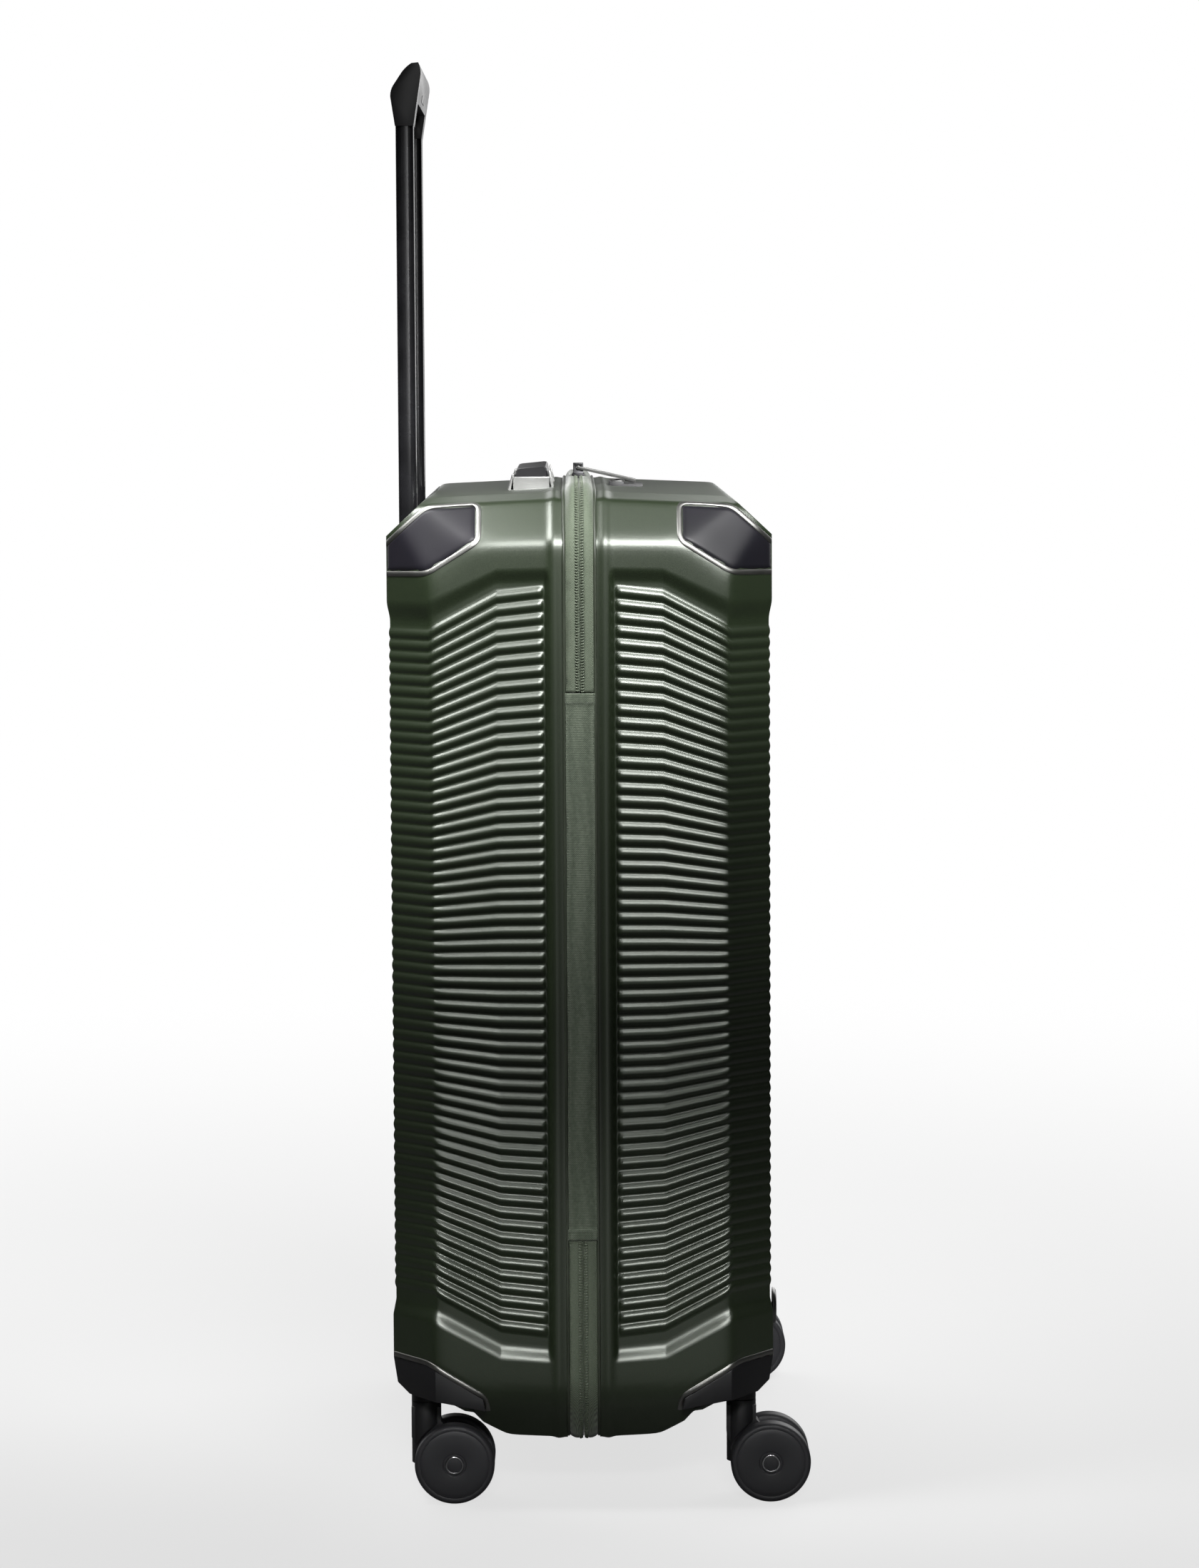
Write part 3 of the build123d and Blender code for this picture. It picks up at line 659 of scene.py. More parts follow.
def soften(points, radius, steps=6):
    """A polyline with each inner corner turned on an arc, sampled about every 2 mm."""
    pts = [np.asarray(q, float) for q in points]
    out = [pts[0]]
    for a, b, c in zip(pts, pts[1:], pts[2:]):
        u, w = a - b, c - b
        lu, lw = np.linalg.norm(u), np.linalg.norm(w)
        r = min(radius, lu * 0.45, lw * 0.45)
        start, stop = b + u / lu * r, b + w / lw * r
        t = np.linspace(0, 1, steps)[:, None]
        out += list((1 - t) ** 2 * start + 2 * t * (1 - t) * b + t**2 * stop)
    out.append(pts[-1])
    dense = [out[0]]
    for a, b in zip(out, out[1:]):
        n = max(1, int(np.linalg.norm(b - a) / 2.2))
        dense += [a + (b - a) * i / n for i in range(1, n + 1)]
    return np.array(dense)


def make_pad(half, side):
    rows, cols = 34, 34
    u = np.concatenate([[0, 0.008, 0.02, 0.04], np.linspace(0.07, 0.93, cols - 8), [0.96, 0.98, 0.992, 1]])
    w = np.concatenate([[0, 0.01, 0.025, 0.05], np.linspace(0.09, 0.91, rows - 8), [0.95, 0.975, 0.99, 1]])[:, None]
    v = (75 + 67 * u)[None, :].repeat(rows, 0)
    low, high = pad_low(v), top_z(v) - 7.0
    z = low + (high - low) * w
    point, normal = surface_point(v, z), surface_normal(v, z)
    edge = np.minimum.reduce([v - 75, (z - low) * 0.86, (high - z) * 1.25, 142.0 - v])
    rise = -1.9 + 2.5 * np.sqrt(np.clip(1 - (1 - np.clip(edge / 3.2, 0, 1)) ** 2, 0, 1))
    point = point + normal * rise[..., None]
    point[..., 1] = np.minimum(point[..., 1], 141.9)
    pts, flip = place(point, side, half)
    name = f"corner_pad_{half}_{side}"
    faces = grid_faces(rows, cols, flip=flip)
    thicken(make(f"{name}_moulded", pts, faces, "pad_charcoal", f"{half}_case", [name]), 2.0)


TRIM_BAR = [(-2.2, -1.2), (-2.2, 0.2), (-1.6, 0.75), (1.2, 0.75), (1.75, 0.3), (1.75, -1.2)]


def trim_bar(path_vz, offset):
    """A slim metal frame bar that follows a line on the side face."""
    path = soften(path_vz, 6.0)
    v, z = path[:, 0], path[:, 1]
    point, normal = surface_point(v, z), surface_normal(v, z)
    side = unit(np.cross(np.gradient(point, axis=0), normal))
    return sweep(point + side * offset, TRIM_BAR, normal)


def make_trims(half):
    parts = []
    for side, _ in SIDES:
        rim = [(v, float(top_z(v)) - 5.6) for v in (141.3, 128.0, 112.0, 92.0, 73.2)]
        upper = trim_bar(rim + [(73.2, 722), (111.5, 698.2), (141.3, 697.2)], 0)
        lower = trim_bar([(71.6, 75.5), (73.2, 87.2), (114.4, 112.0), (141.3, 113.8)], 0)
        for pts, faces in (upper, lower):
            pts, flip = place(pts, side, half)
            pts[:, 1] = np.clip(pts[:, 1], -END_V, END_V)
            parts.append((pts, turned(faces, flip)))
    points, faces = join(parts)
    make(f"trim_frames_{half}_bars", points, faces, "trim_gunmetal", f"{half}_case",
         [f"trim_frames_{half}"], sharp=50)


for half, _ in HALVES:
    make_trims(half)
    for side, _ in SIDES:
        make_pad(half, side)
        moulded_copy(f"caster_housing_{half}_{side}", f"{half}_case", "part_black", 1.8, 4)


# ================================================================ zip tape, coil, piping and hinge strip
TOP_X = HALF_WIDE - CUT_X
OCTAGON = [(-HALF_WIDE, 400), (-HALF_WIDE, HIGH_CUT_Z), (-TOP_X, TOP), (TOP_X, TOP), (HALF_WIDE, HIGH_CUT_Z),
           (HALF_WIDE, LOW_CUT_Z), (TOP_X, BOTTOM), (-TOP_X, BOTTOM), (-HALF_WIDE, LOW_CUT_Z), (-HALF_WIDE, 400)]


def outline_path(points, radius=16.0):
    """Points, outward normals and lengths along the rim outline, in the x-z plane."""
    line = soften(points, radius, 8)
    tangent = unit(np.gradient(line, axis=0))
    outward = np.stack([-tangent[:, 1], tangent[:, 0]], 1)
    gap = np.linalg.norm(np.diff(line, axis=0), axis=1)
    return line, outward, np.concatenate([[0], np.cumsum(gap)])


LINE, OUTWARD, LENGTH = outline_path([(-HALF_WIDE, 611.5)] + OCTAGON[1:-1] + [(-HALF_WIDE, 205.5)])


def crown(z):
    """How far the tape bulges: most over the top, where the case's ends push it out."""
    return 1.9 + 4.6 * smooth((z - 715) / 42) + 1.2 * smooth((90 - z) / 35)


def wrinkle(length, v, sign):
    a = np.sin(length / 17 + sign * 1.3) * np.sin(length / 7.3 + v * 0.5 + sign)
    b = np.sin(length / 4.1 + v * 1.1 + 2.0 * sign)
    fade = 0.25 + 0.75 * np.exp(-((np.minimum(length, 400) / 190) ** 2))
    return (0.28 * a + 0.10 * b) * fade


CHAIN_BED = 0.8  # how far the tape dips under the zip's teeth


def tape_height(v, z, length, sign):
    """How far the tape stands off the rim at |y| = v."""
    u = (10.7 - v) / 10.4
    h = 0.35 + crown(z) * np.sin(pi / 2 * np.clip(u / 0.55, 0, 1)) ** 0.8
    h = h - 0.9 * smooth((1.5 - v) / 1.2) + wrinkle(length, v, sign) * smooth((10.5 - v) / 2)
    if sign > 0:
        pucker = 0.35 + 0.65 * np.clip(np.sin(length / 5.2 + 1.4 * np.sin(length / 13.0)), 0, 1)
        top_side = np.exp(-((np.clip(length - 150, 0, None) / 120) ** 2))
        h = h - 1.25 * pucker * top_side * smooth((v - 5.6) / 3.4)
    return h - 0.35 * np.exp(-(((v - 3.6) / 0.3) ** 2)) - CHAIN_BED * smooth((3.4 - v) / 0.6)


def over_line(line, outward, height, v):
    return np.stack([line[:, 0] + outward[:, 0] * height, v, line[:, 1] + outward[:, 1] * height], -1)


def make_tape(half, sign):
    """One half's tape, whose inner edge turns down, and the piping that borders it."""
    vs = np.array([10.7, 10.2, 9.4, 8.4, 7.3, 6.2, 5.1, 4.1, 3.4, 3.0, 2.6, 2.0, 1.3, 0.8, 0.4, 0.1, 0.03])
    pts = []
    for v in vs:
        h = tape_height(v, LINE[:, 1], LENGTH, sign) - (2.2 if v == vs[-1] else 0.0)
        pts.append(over_line(LINE, OUTWARD, h, np.full(len(LINE), sign * v)))
    pts = np.array(pts)
    faces = grid_faces(len(vs), len(LINE), flip=sign > 0)
    tape = make(f"zip_tape_{half}_woven", pts, faces, "zip_tape", f"{half}_case", [f"{half}_zip_tape"])
    thicken(tape, 0.8)
    closed, outward = (a[:-1] for a in outline_path(OCTAGON)[:2])
    path = over_line(closed, outward, 0.7, np.full(len(closed), sign * 11.4))
    normals = np.stack([outward[:, 0], np.zeros(len(outward)), outward[:, 1]], -1)
    points, faces = sweep(path, circle(1.25, 12), normals, closed=True)
    make(f"piping_{half}", points, faces, "piping_green", f"{half}_case")


# One stitch: four rings of six points (along, across, out), narrow at both ends.
STITCH_RINGS = ((-1.0, 0.25), (-0.5, 0.85), (0.5, 0.85), (1.0, 0.25))
STITCH = np.array([(a, b, c) for a, w in STITCH_RINGS for b, c in circle(w, 6)])


def stitches(centres, along, outward, half_length, radius):
    """Small rounded thread bumps, one at each centre."""
    along, outward = unit(along), unit(outward)
    across = np.cross(along, outward)
    pts = (
        centres[:, None, :]
        + along[:, None, :] * (STITCH[None, :, 0, None] * half_length)
        + across[:, None, :] * (STITCH[None, :, 1, None] * radius)
        + outward[:, None, :] * (STITCH[None, :, 2, None] * radius)
    )
    shape = tube_faces(4, 6)
    faces = [tuple(j + i * len(STITCH) for j in q) for i in range(len(centres)) for q in shape]
    return pts.reshape(-1, 3), faces


def along_line(step, offset):
    """Line points, outward normals, tangents and heights at even steps along the zip."""
    at = np.arange(LENGTH[0] + step / 2 + offset, LENGTH[-1], step)
    line, outward = (np.stack([np.interp(at, LENGTH, a[:, i]) for i in (0, 1)], 1) for a in (LINE, OUTWARD))
    tangent = np.stack([outward[:, 1], np.zeros(len(at)), -outward[:, 0]], -1)
    normal = np.stack([outward[:, 0], np.zeros(len(at)), outward[:, 1]], -1)
    return at, line, outward, tangent, normal


def make_coil(half, sign):
    """Teeth of the closed zip in two rows: the leaning loops, and the small heads where they meet."""
    parts = []
    for v, lean, size, radius in ((2.35, 0.5, 0.95, 0.58), (1.05, -0.4, 0.55, 0.32)):
        at, line, outward, tangent, normal = along_line(2.05, 0.4 * sign)
        h = tape_height(v, line[:, 1], at, sign) + CHAIN_BED + 0.1
        centre = over_line(line, outward, h, np.full(len(at), sign * v))
        lean_dir = tangent * lean + np.array([0, sign, 0])
        parts.append(stitches(centre, lean_dir, normal, size, radius))
    points, faces = join(parts)
    make(f"zip_coil_{half}_teeth", points, faces, "zip_coil", f"{half}_case", [f"{half}_zip_coil"])


STRIP_HALF = 11.6


def strip_crown(v):
    """How far the hinge strip stands off the rim, between its hems."""
    return 1.0 + 1.35 * np.sqrt(np.clip(1 - (v / STRIP_HALF) ** 2, 0, 1))


def fold_at_hinge(obj):
    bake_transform(obj)


def make_strip():
    """The fabric strip that is the case's hinge, with its stitching."""
    vs = np.linspace(-11.0, 11.0, 25)
    zs = np.concatenate([np.linspace(206, 216, 9), np.linspace(219, 598, 120), np.linspace(601, 611, 9)])
    v, z = np.meshgrid(vs, zs)
    hem = smooth((214.5 - z) / 1.2) + smooth((z - 602.5) / 1.2)
    h = strip_crown(v) + 0.55 * hem + 0.10 * np.sin(z / 23 + v / 5) + 0.05 * np.sin(z / 6.1 - v)
    pts = np.stack([-HALF_WIDE - h, v, z], -1)
    faces = grid_faces(len(zs), len(vs), flip=True)
    obj = make("hinge_strip_woven", pts, faces, "strip_fabric", None, ["hinge_strip"])
    bm = bmesh.new()
    bm.from_mesh(obj.data)
    bmesh.ops.solidify(bm, geom=bm.faces[:], thickness=0.0009)
    bm.to_mesh(obj.data)
    bm.free()
    smooth_all(obj.data)
    fold_at_hinge(obj)
    hems = [(0, y, z0) for z0 in (213.0, 604.0) for y in np.arange(-10, 10.1, 1.6)]
    runs = [(0, y, z0) for y in (-9.6, 9.6) for z0 in np.arange(217, 601, 2.4)]
    centres = np.array(hems + runs, float)
    along = np.array([(0, 1, 0)] * len(hems) + [(0, 0, 1)] * len(runs), float)
    centres[:, 0] = -HALF_WIDE - strip_crown(centres[:, 1]) - 0.12
    centres[: len(hems), 0] -= 0.45
    out = np.tile([-1.0, 0, 0], (len(centres), 1))
    points, faces = stitches(centres, along, out, 0.62, 0.2)
    fold_at_hinge(make("hinge_strip_stitching", points, faces, "thread", None))


for half, sign in HALVES:
    make_tape(half, sign)
    make_coil(half, sign)
make_strip()


# ================================================================ casters
# Outlines as (distance from the caster's middle plane, radius).
WHEEL_RING = [(8.0, 3.1), (8.0, 11.5), (8.7, 12.2), (8.7, 24.0), (8.0, 24.8), (8.0, 27.6), (8.5, 28.9), (9.8, 29.8),
              (11.0, 30.0), (15.2, 30.0), (19.8, 30.0), (21.3, 29.7), (22.4, 28.8), (22.85, 27.6), (22.7, 26.2),
              (22.45, 25.6), (22.7, 25.0), (23.0, 22.0), (23.0, 9.4), (22.8, 8.6), (22.3, 8.2), (22.3, 3.1)]
CAP_DARK = [(23.5, 0.0), (23.6, 4.0), (23.3, 5.2), (22.6, 5.4), (22.3, 5.4), (22.3, 0.0)]
CAP_RING = [(22.4, 5.2), (23.4, 5.3), (24.2, 5.6), (24.4, 6.2), (24.1, 6.8), (23.2, 7.1), (22.4, 7.1), (22.4, 5.2)]


def mirrored(profile, sign):
    return [(sign * a, r) for a, r in profile]


for half, sy in HALVES:
    for side, sx in SIDES:
        tag, body = f"{half}_{side}", f"caster_{half}_{side}"
        hub = (sx * 203.0, sy * 118.5 - 21.5, 30.0)
        moulded_copy(f"caster_fork_{tag}", body, "part_black", 1.4, 3)
        parts = [revolve([(-22.3, 0.0), (-22.3, 2.95), (22.3, 2.95), (22.3, 0.0)], hub, "x", 32)]
        marks = [0] * len(parts[0][1])
        for sign in (-1, 1):
            for mark, profile in ((1, CAP_DARK), (0, CAP_RING)):
                pts, faces = revolve(mirrored(profile, sign), hub, "x", 64)
                parts.append((pts, turned(faces, sign > 0)))
                marks += [mark] * len(faces)
        points, faces = join(parts)
        make(f"caster_axle_{tag}_turned", points, faces, ["axle_silver", "wheel_grey"], body,
             [f"caster_axle_{tag}"], sharp=50, indices=marks)
        for hand, sign in (("right", 1), ("left", -1)):
            ring = mirrored(WHEEL_RING, sign)
            pts, faces = revolve(ring + ring[:1], hub, "x", 112)
            node = f"wheel_{tag}_{hand}"
            make(f"{node}_tyre", pts, turned(faces, sign > 0), "wheel_grey", node, [node], sharp=38)


# ================================================================ trolley
def tube_profile(wide, deep, r, crown_mm):
    """Rounded tube outline (x, y) with gently crowned narrow faces."""
    pts = []
    for cx, cy, a0 in ((1, 1, 0), (-1, 1, 90), (-1, -1, 180), (1, -1, 270)):
        for a in np.linspace(a0, a0 + 90, 7):
            c, s = cos(radians(a)), sin(radians(a))
            pts.append((cx * (wide / 2 - r) + r * c, cy * (deep / 2 - r) + r * s))
        if a0 in (90, 270):
            s = -1 if a0 == 90 else 1
            flat = deep / 2 - r
            pts += [(s * wide / 2, -s * flat * t) for t in (-0.7, -0.35, 0.0, 0.35, 0.7)]

    def crowned(x, y):
        share = min(1.0, (abs(y) / (deep / 2)) ** 2) if abs(x) > wide / 2 - r else 1.0
        return x - copysign(crown_mm * share, x), y

    return [crowned(x, y) for x, y in pts]


def make_tubes():
    parts = []
    profile = tube_profile(20.0, 14.0, 3.2, 0.35)
    zs = np.linspace(634, 1044, 30)
    for x0 in (-95.0, 95.0):
        pts = np.array([[(x0 + a, 130 + b, z) for a, b in profile] for z in zs])
        parts.append((pts, tube_faces(len(zs), len(profile))))
    points, faces = join(parts)
    make("trolley_inner_tubes_drawn", points, faces, "tube_black", "trolley",
         ["trolley_inner_tubes"], sharp=35)


make_tubes()
moulded_copy("trolley_grip", "trolley", "handle_black", 1.6, 4, long_edges=5.0)
moulded_copy("grip_button", "trolley_button", "part_black", 0.7, 3)
moulded_copy("trolley_socket", "back_case", "part_black", 0.8, 2)
for node, material in (
    ("trolley_outer_tubes", "metal_gunmetal"),
    ("trolley_base_bracket", "part_black"),
    ("trolley_push_rods", "part_black"),
    ("trolley_lock_pins", "axle_silver"),
):
    paint(node, material)


# ================================================================ carry handles
def round_edges(obj, width):
    bevel = obj.modifiers.new("round", "BEVEL")
    bevel.width, bevel.segments = width / 1000, 3
    bevel.limit_method, bevel.angle_limit = "ANGLE", radians(30.0)


def prism(outline, low, high, axis="x"):
    """A prism of an outline given in the two axes that follow the extrusion axis in x, y, z order."""
    k = len(outline)
    pts = []
    for level in (low, high):
        for a, b in outline:
            pts.append({"x": (level, a, b), "y": (a, level, b), "z": (a, b, level)}[axis])
    faces = [tuple(range(k))[::-1], tuple(range(k, 2 * k))]
    faces += [(i, (i + 1) % k, k + (i + 1) % k, k + i) for i in range(k)]
    return np.array(pts, float), turned(faces, axis == "y")


def make_top_handle():
    """The flat carry handle and its two brackets. Outlines are (y, z)."""
    outline = [(24.2, 762.0), (47.8, 762.0), (48.9, 762.9), (48.5, 766.0), (47.9, 769.6), (46.8, 771.0),
               (44.6, 771.5), (27.4, 773.1), (25.2, 772.9), (24.1, 771.4), (23.3, 766.0), (23.1, 762.9)]
    xs = np.array([-92, -91.7, -91, -89, -80, -60, -40, -20, 0, 20, 40, 60, 80, 89, 91, 91.7, 92])
    pts = []
    for x in xs:
        edge = 1 - 0.07 * smooth((abs(x) - 90.5) / 1.5)
        for y, z in outline:
            pts.append((x, 36 + (y - 36) * edge, 767 + (z - 767) * edge))
    faces = tube_faces(len(xs), len(outline))
    make("top_handle_grip_moulded", pts, faces, "handle_black", "top_handle",
         ["top_handle_grip"], sharp=28)
    right_arm = [(17.6, 754.2), (22.8, 754.2), (22.9, 770.2), (21.7, 770.2)]
    left_arm = [(49.2, 754.2), (54.4, 754.2), (50.8, 767.2), (49.2, 767.2)]
    plate = [(19.6, 754.2), (52.4, 754.2), (50.4, 765.2), (21.6, 765.2)]
    parts = []
    for s in (-1, 1):
        for arm in (right_arm, left_arm):
            parts.append(prism(arm, *sorted((s * 77.0, s * 95.0))))
        parts.append(prism(plate, *sorted((s * 93.0, s * 95.0))))
    points, faces = join(parts)
    brackets = make("top_handle_brackets_cast", points, faces, "bracket_silver", "back_case",
                    ["top_handle_brackets"], sharp=30)
    round_edges(brackets, 0.6)


make_top_handle()


def make_grip_inlay():
    """A slim plate on the grip's front face that closes the button's well."""
    low, high, proud = 1052.3, 1057.4, 0.35
    front = [(123.0 - 6.5 * (z - 1030.0) / 43.0, z) for z in (low, high)]
    outline = front + [(y - proud, z) for y, z in front[::-1]]
    points, faces = prism(outline, -23.0, 23.0)
    round_edges(make("grip_inlay_moulded", points, faces, "handle_black", "trolley"), 0.12)


make_grip_inlay()
moulded_copy("side_handle_cup", "back_case", "part_black", 1.0, 3)
moulded_copy("side_handle_grip", "side_handle", "handle_black", 2.0, 4)

# ================================================================ sliders, pulls, lock, badge
for side, _ in SIDES:
    slider, pull = f"zip_slider_{side}", f"zip_pull_{side}"
    rounded_copy(f"{slider}_cast", slider, "slider_black", slider, 0.8, 3)
    rounded_copy(f"{pull}_cast", pull, "metal_gunmetal", pull, 0.45, 3)
moulded_copy("lock_body", "front_case", "part_black", 0.5, 2)
moulded_copy("lock_button", "lock_button", "metal_gunmetal", 0.5, 3)


def make_dial(number, x0):
    """A number wheel: grip ridges on one edge and a plain band with ten marks."""
    prof = [(-2.2, 1.3), (-2.2, 5.0), (-1.9, 5.4), (-0.6, 5.4), (-0.4, 5.2),
            (1.2, 5.2), (1.4, 5.4), (1.9, 5.4), (2.2, 5.0), (2.2, 1.3)]
    pts, faces = revolve(prof + prof[:1], (0, 0, 0), "x", 80)
    r = np.hypot(pts[:, 1], pts[:, 2])
    angle = np.arctan2(pts[:, 2], pts[:, 1])
    ridged = (r > 5.3) & (np.abs(pts[:, 0]) > 0.5)
    squeeze = np.where(ridged, 1 - 0.03 * (np.cos(angle * 20) > 0), 1.0)
    pts[:, 1:] *= squeeze[:, None]
    parts, marks = [(pts, faces)], [0] * len(faces)
    for k in range(10):
        c, s = cos(2 * pi * (k + 0.5) / 10), sin(2 * pi * (k + 0.5) / 10)
        bars = 1 + (k * 7 + number) % 3
        for b in range(bars):
            mark, quad = prism([(-0.55, -0.12), (0.55, -0.12), (0.55, 0.12), (-0.55, 0.12)], 5.05, 5.27, "z")
            x, y, z = mark.T + np.array([[0.4], [(b - (bars - 1) / 2) * 0.5], [0.0]])
            parts.append((np.stack([x, y * c - z * s, y * s + z * c], 1), quad))
            marks += [1] * len(quad)
    points, faces = join(parts)
    points = points + np.array([x0, -31.0, 755.0])
    node = f"lock_dial_{number}"
    make(f"{node}_moulded", points, faces, ["dial_black", "dial_white"], node, [node],
         sharp=35, indices=marks)


for number, x0 in enumerate((27.0, 20.5, 14.0), 1):
    make_dial(number, x0)

dome = [(0.0, 14.0), (-1.4, 13.6), (-2.5, 12.2), (-2.7, 11.6), (-2.5, 11.0), (-2.75, 8.0), (-2.95, 4.0), (-3.0, 0.0)]
points, faces = revolve([(0.0, 0.0)] + dome, (-203.0, -142.0, 145.0), "y", 72)
make("blank_badge_domed", points, faces, "metal_gunmetal", "front_case", ["blank_badge"], sharp=60)


# ================================================================ lining and straps
def make_lining(half):
    """A sewn fabric tub that follows the inside of a shell."""
    inset = 8.2
    vs = np.concatenate([[13.2, 13.6, 15], np.linspace(18, 112, 24), [115, 116.6, 117.2]])
    ts = np.concatenate([[0, 0.004, 0.012], np.linspace(0.025, 0.975, 70), [0.988, 0.996, 1]])
    wing = np.interp(vs, [13, 66, 76, 115, 118], [0, 0, 93, 118, 119])
    low = np.maximum(bottom_z(vs, inset), wing)
    high = top_z(vs, inset)
    z = low[None, :] + (high - low)[None, :] * ts[:, None]
    v = vs[None, :].repeat(len(ts), 0)
    x = side_x(v, z, inset, 5.0)
    inner = np.clip((v - 13) / 3, 0, 1)
    x = x + (1 - inner) * 6.6
    wave = 0.7 * np.sin(z / 37 + v / 19) * np.sin(v / 23 - z / 61)
    sheets, faces = [], []

    def add(pts, flip):
        base = sum(len(q) for q in sheets)
        sheets.append(pts.reshape(-1, 3))
        faces.extend(grid_faces(pts.shape[0], pts.shape[1], base, flip))

    right = np.stack([x + wave, v, z], -1)
    left = np.stack([-x - wave, v, z], -1)
    add(right, False)
    add(left, True)

    def span(edge_left, edge_right):
        w = ((np.linspace(-1, 1, 41) + 1) / 2)[None, :, None]
        return edge_left[:, None, :] * (1 - w) + edge_right[:, None, :] * w

    floor = span(left[:, -1, :], right[:, -1, :])
    pillow = np.sin(floor[..., 0] / 41) * np.sin(floor[..., 2] / 53)
    edge = np.clip((250 - np.abs(floor[..., 0])) / 30, 0, 1)
    floor[..., 1] -= 0.6 + 0.25 * pillow * edge
    floor[:, 0, 1], floor[:, -1, 1] = left[:, -1, 1], right[:, -1, 1]
    floor[0, :, 1], floor[-1, :, 1] = vs[-1], vs[-1]
    add(floor, False)
    add(span(left[-1], right[-1]), True)
    add(span(left[0], right[0]), False)
    pts = np.vstack(sheets)
    if half == "back":
        near_notch = smooth((126 - np.abs(pts[:, 0])) / 6) * smooth((pts[:, 2] - 682) / 6)
        pts[:, 1] = np.minimum(pts[:, 1], 117.2 - 7.6 * near_notch)
        cup = smooth((pts[:, 1] - 27) / 8) * smooth((93 - pts[:, 1]) / 8)
        cup *= smooth((pts[:, 2] - 306) / 12) * smooth((554 - pts[:, 2]) / 12) * (pts[:, 0] > 150)
        pts[:, 0] = np.minimum(pts[:, 0], 250 - 17.5 * cup)
    else:
        near_lock = smooth((46 - np.abs(pts[:, 0])) / 8) * smooth((60 - np.abs(pts[:, 1] - 37)) / 30)
        pts[:, 2] = np.minimum(pts[:, 2], 750 - 6.5 * near_lock)
    pts, faces, _ = weld(pts, faces, np.zeros(len(pts)))
    if half == "front":
        pts[:, 1] *= -1
    faces = turned(faces, half == "back")
    tub = make(f"lining_{half}_sewn", pts, faces, "lining_fabric", f"{half}_case", [f"{half}_lining"])
    thicken(tub, 0.8)


make_lining("back")
make_lining("front")


def make_straps():
    """Two crossed straps, the second laid over the first, and their buckle."""
    band = [(-12.5, -0.5), (-12.5, 0.5), (-11.6, 0.66), (-10.8, 0.5),
            (10.8, 0.5), (11.6, 0.66), (12.5, 0.5), (12.5, -0.5)]
    t = np.linspace(-1, 1, 60)
    normals = np.tile([0.0, -1.0, 0.0], (len(t), 1))
    parts = []
    for sign, lift in ((-1, 0.0), (1, 0.25)):
        path = np.stack([t * 192.0 * sign, 115.7 - lift - 0.5 * np.cos(t * pi / 2), 425 + t * 220.0], -1)
        parts.append(sweep(path, band, normals))
    points, faces = join(parts)
    make("packing_straps_webbing", points, faces, "strap_fabric", "back_case",
         ["packing_straps"], sharp=40)
    moulded_copy("strap_buckle", "back_case", "part_black", 1.2, 4)


make_straps()

# ================================================================ studio
FLOOR_RADIUS, FADE_FROM, FADE_TO = 3.0, 0.45, 2.6

floor_mat = Nodes("studio_floor")
floor_mat.set(Roughness=0.9)
floor_mat.colour(floor_mat.noise(3.0), (0.48, 0.48, 0.48), (0.52, 0.52, 0.52))
distance = floor_mat.new("ShaderNodeVectorMath", operation="LENGTH")
floor_mat.link(floor_mat.coord.outputs["Object"], distance.inputs[0])
fade = floor_mat.new("ShaderNodeMapRange", interpolation_type="SMOOTHSTEP")
fade.inputs["From Min"].default_value, fade.inputs["From Max"].default_value = FADE_FROM, FADE_TO
fade.inputs["To Min"].default_value, fade.inputs["To Max"].default_value = 0.3, 0.0
floor_mat.link(distance.outputs["Value"], fade.inputs["Value"])
floor_mat.link(fade.outputs["Result"], floor_mat.shader.inputs["Alpha"])
floor_mesh = bpy.data.meshes.new("studio_floor")
floor_mesh.from_pydata([(a, b, 0.0) for a, b in circle(FLOOR_RADIUS, 48)], [], [tuple(range(48))])
floor_mesh.materials.append(MATS["studio_floor"])
studio_floor = add_object("studio_floor", floor_mesh)
studio_floor.location = (0, 0, -0.0005)

world = bpy.data.worlds.new("studio")
bpy.context.scene.world = world
world.use_nodes = True
world_tree = world.node_tree
background = world_tree.nodes["Background"]
light_path = world_tree.nodes.new("ShaderNodeLightPath")
strength = world_tree.nodes.new("ShaderNodeMapRange")
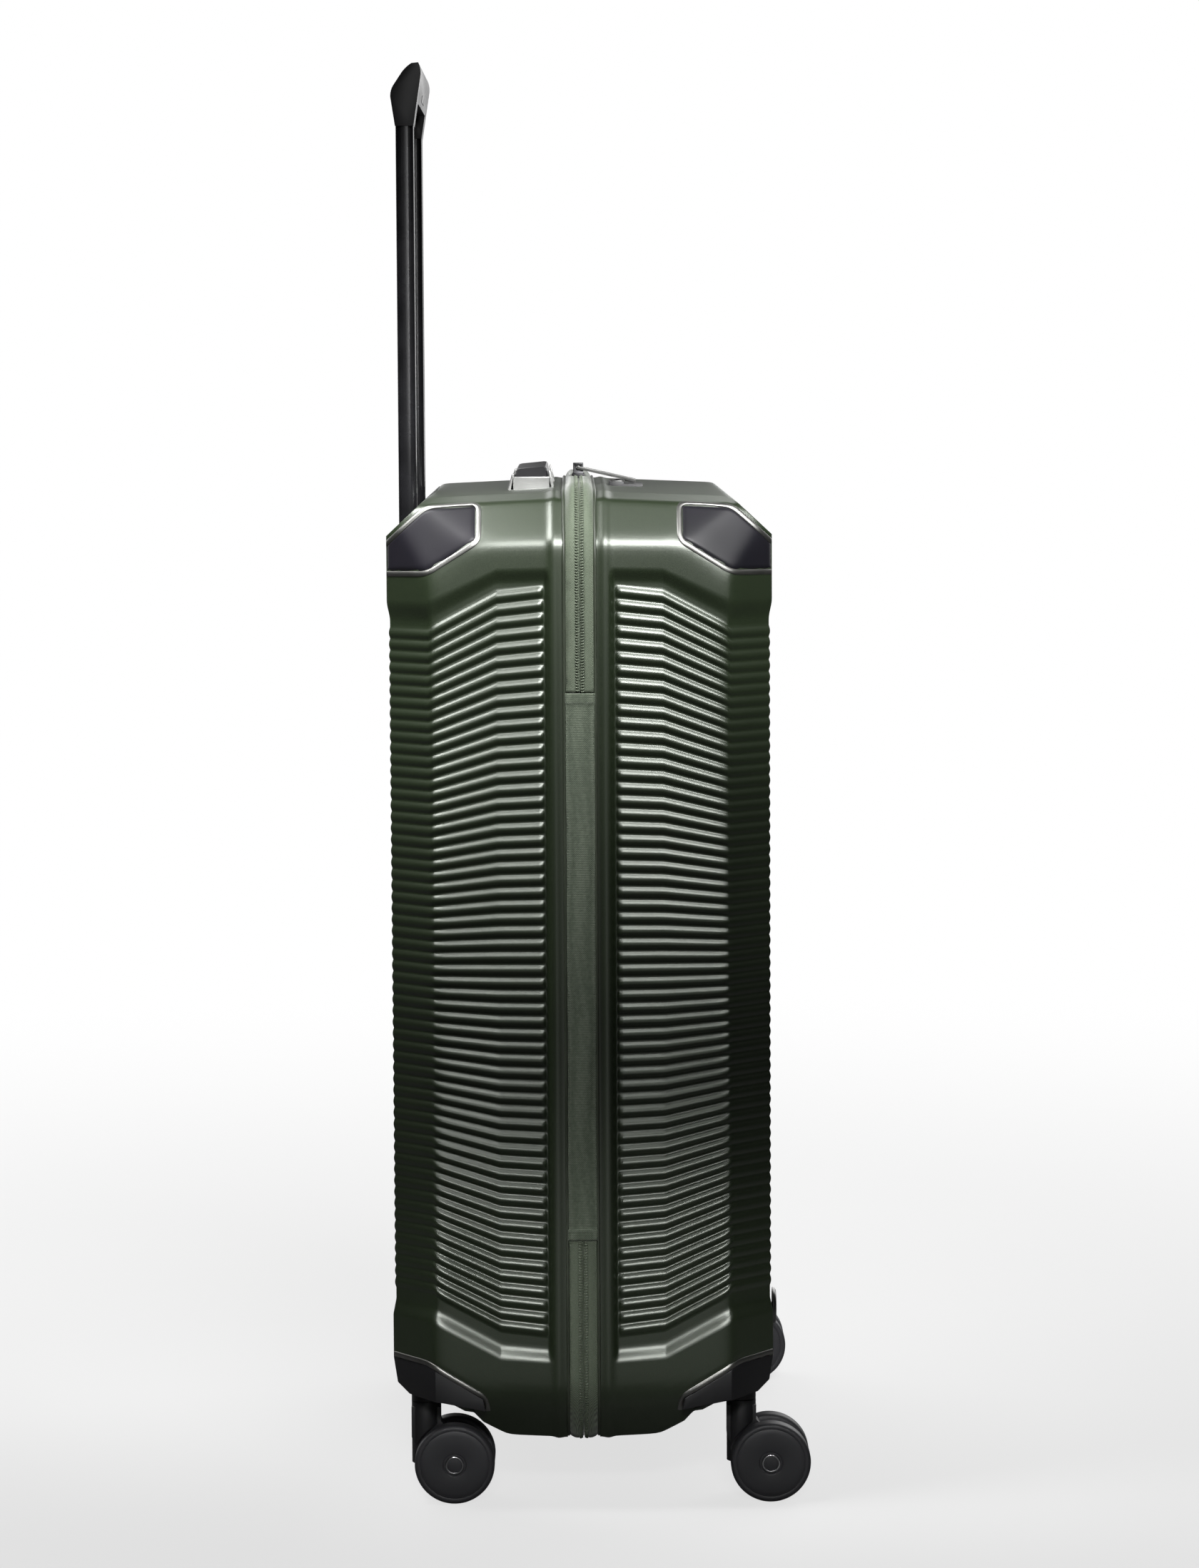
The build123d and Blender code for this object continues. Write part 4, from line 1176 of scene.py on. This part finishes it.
# the backdrop is white, and adds only a little light of its own
strength.inputs["To Min"].default_value, strength.inputs["To Max"].default_value = 0.012, 1.0
world_tree.links.new(light_path.outputs["Is Camera Ray"], strength.inputs["Value"])
world_tree.links.new(strength.outputs["Result"], background.inputs["Strength"])
background.inputs["Color"].default_value = (1, 1, 1, 1)


def area_light(name, place_m, aim_m, wide, high, power, spread=180.0):
    """A rectangular light in metres, watts and degrees of spread."""
    data = bpy.data.lights.new(name, "AREA")
    data.shape = "RECTANGLE"
    data.size, data.size_y, data.energy, data.spread = wide, high, power, radians(spread)
    obj = add_object(name, data)
    obj.location = place_m
    obj.rotation_euler = (Vector(aim_m) - Vector(place_m)).to_track_quat("-Z", "Y").to_euler()
    obj.visible_camera = False


area_light("key", (-0.72, -0.16, 1.16), (-0.25, -0.02, 0.80), 1.15, 0.3, 3.8, 46)
area_light("left_ribs", (-0.36, 0.37, 1.12), (-0.25, 0.085, 0.55), 0.3, 0.3, 0.48, 34)
area_light("facet", (-1.33, 0.0, 0.66), (-0.25, 0.0, 0.145), 0.9, 0.12, 0.34, 16)
area_light("tube_glint", (-1.6, 0.090, 0.96), (-0.105, 0.144, 0.955), 0.025, 0.36, 0.003, 9)
area_light("low_fill", (-2.4, -0.2, 0.3), (0, 0, 0.12), 0.8, 0.4, 0.15, 60)
area_light("back_left", (2.2, 1.5, 1.7), (0, 0, 0.45), 2.6, 2.6, 55)
area_light("back_right", (2.2, -1.5, 1.7), (0, 0, 0.45), 2.6, 2.6, 55)

camera = bpy.data.cameras.new("camera")
camera.lens, camera.sensor_width, camera.sensor_fit = 103.35, 36.0, "AUTO"
camera.clip_start, camera.clip_end = 0.05, 60.0
camera_object = add_object("camera", camera)
CAMERA_PLACE = (-3.535, 0.0052 + ZIP_Y / 1000, 0.8473)
CAMERA_TURN = (84.72138, 0.29873, -90.36184)
camera_object.matrix_world = Matrix.LocRotScale(Vector(CAMERA_PLACE), Euler(map(radians, CAMERA_TURN)), None)
bpy.context.scene.camera = camera_object
bpy.context.scene.view_settings.view_transform = "Standard"
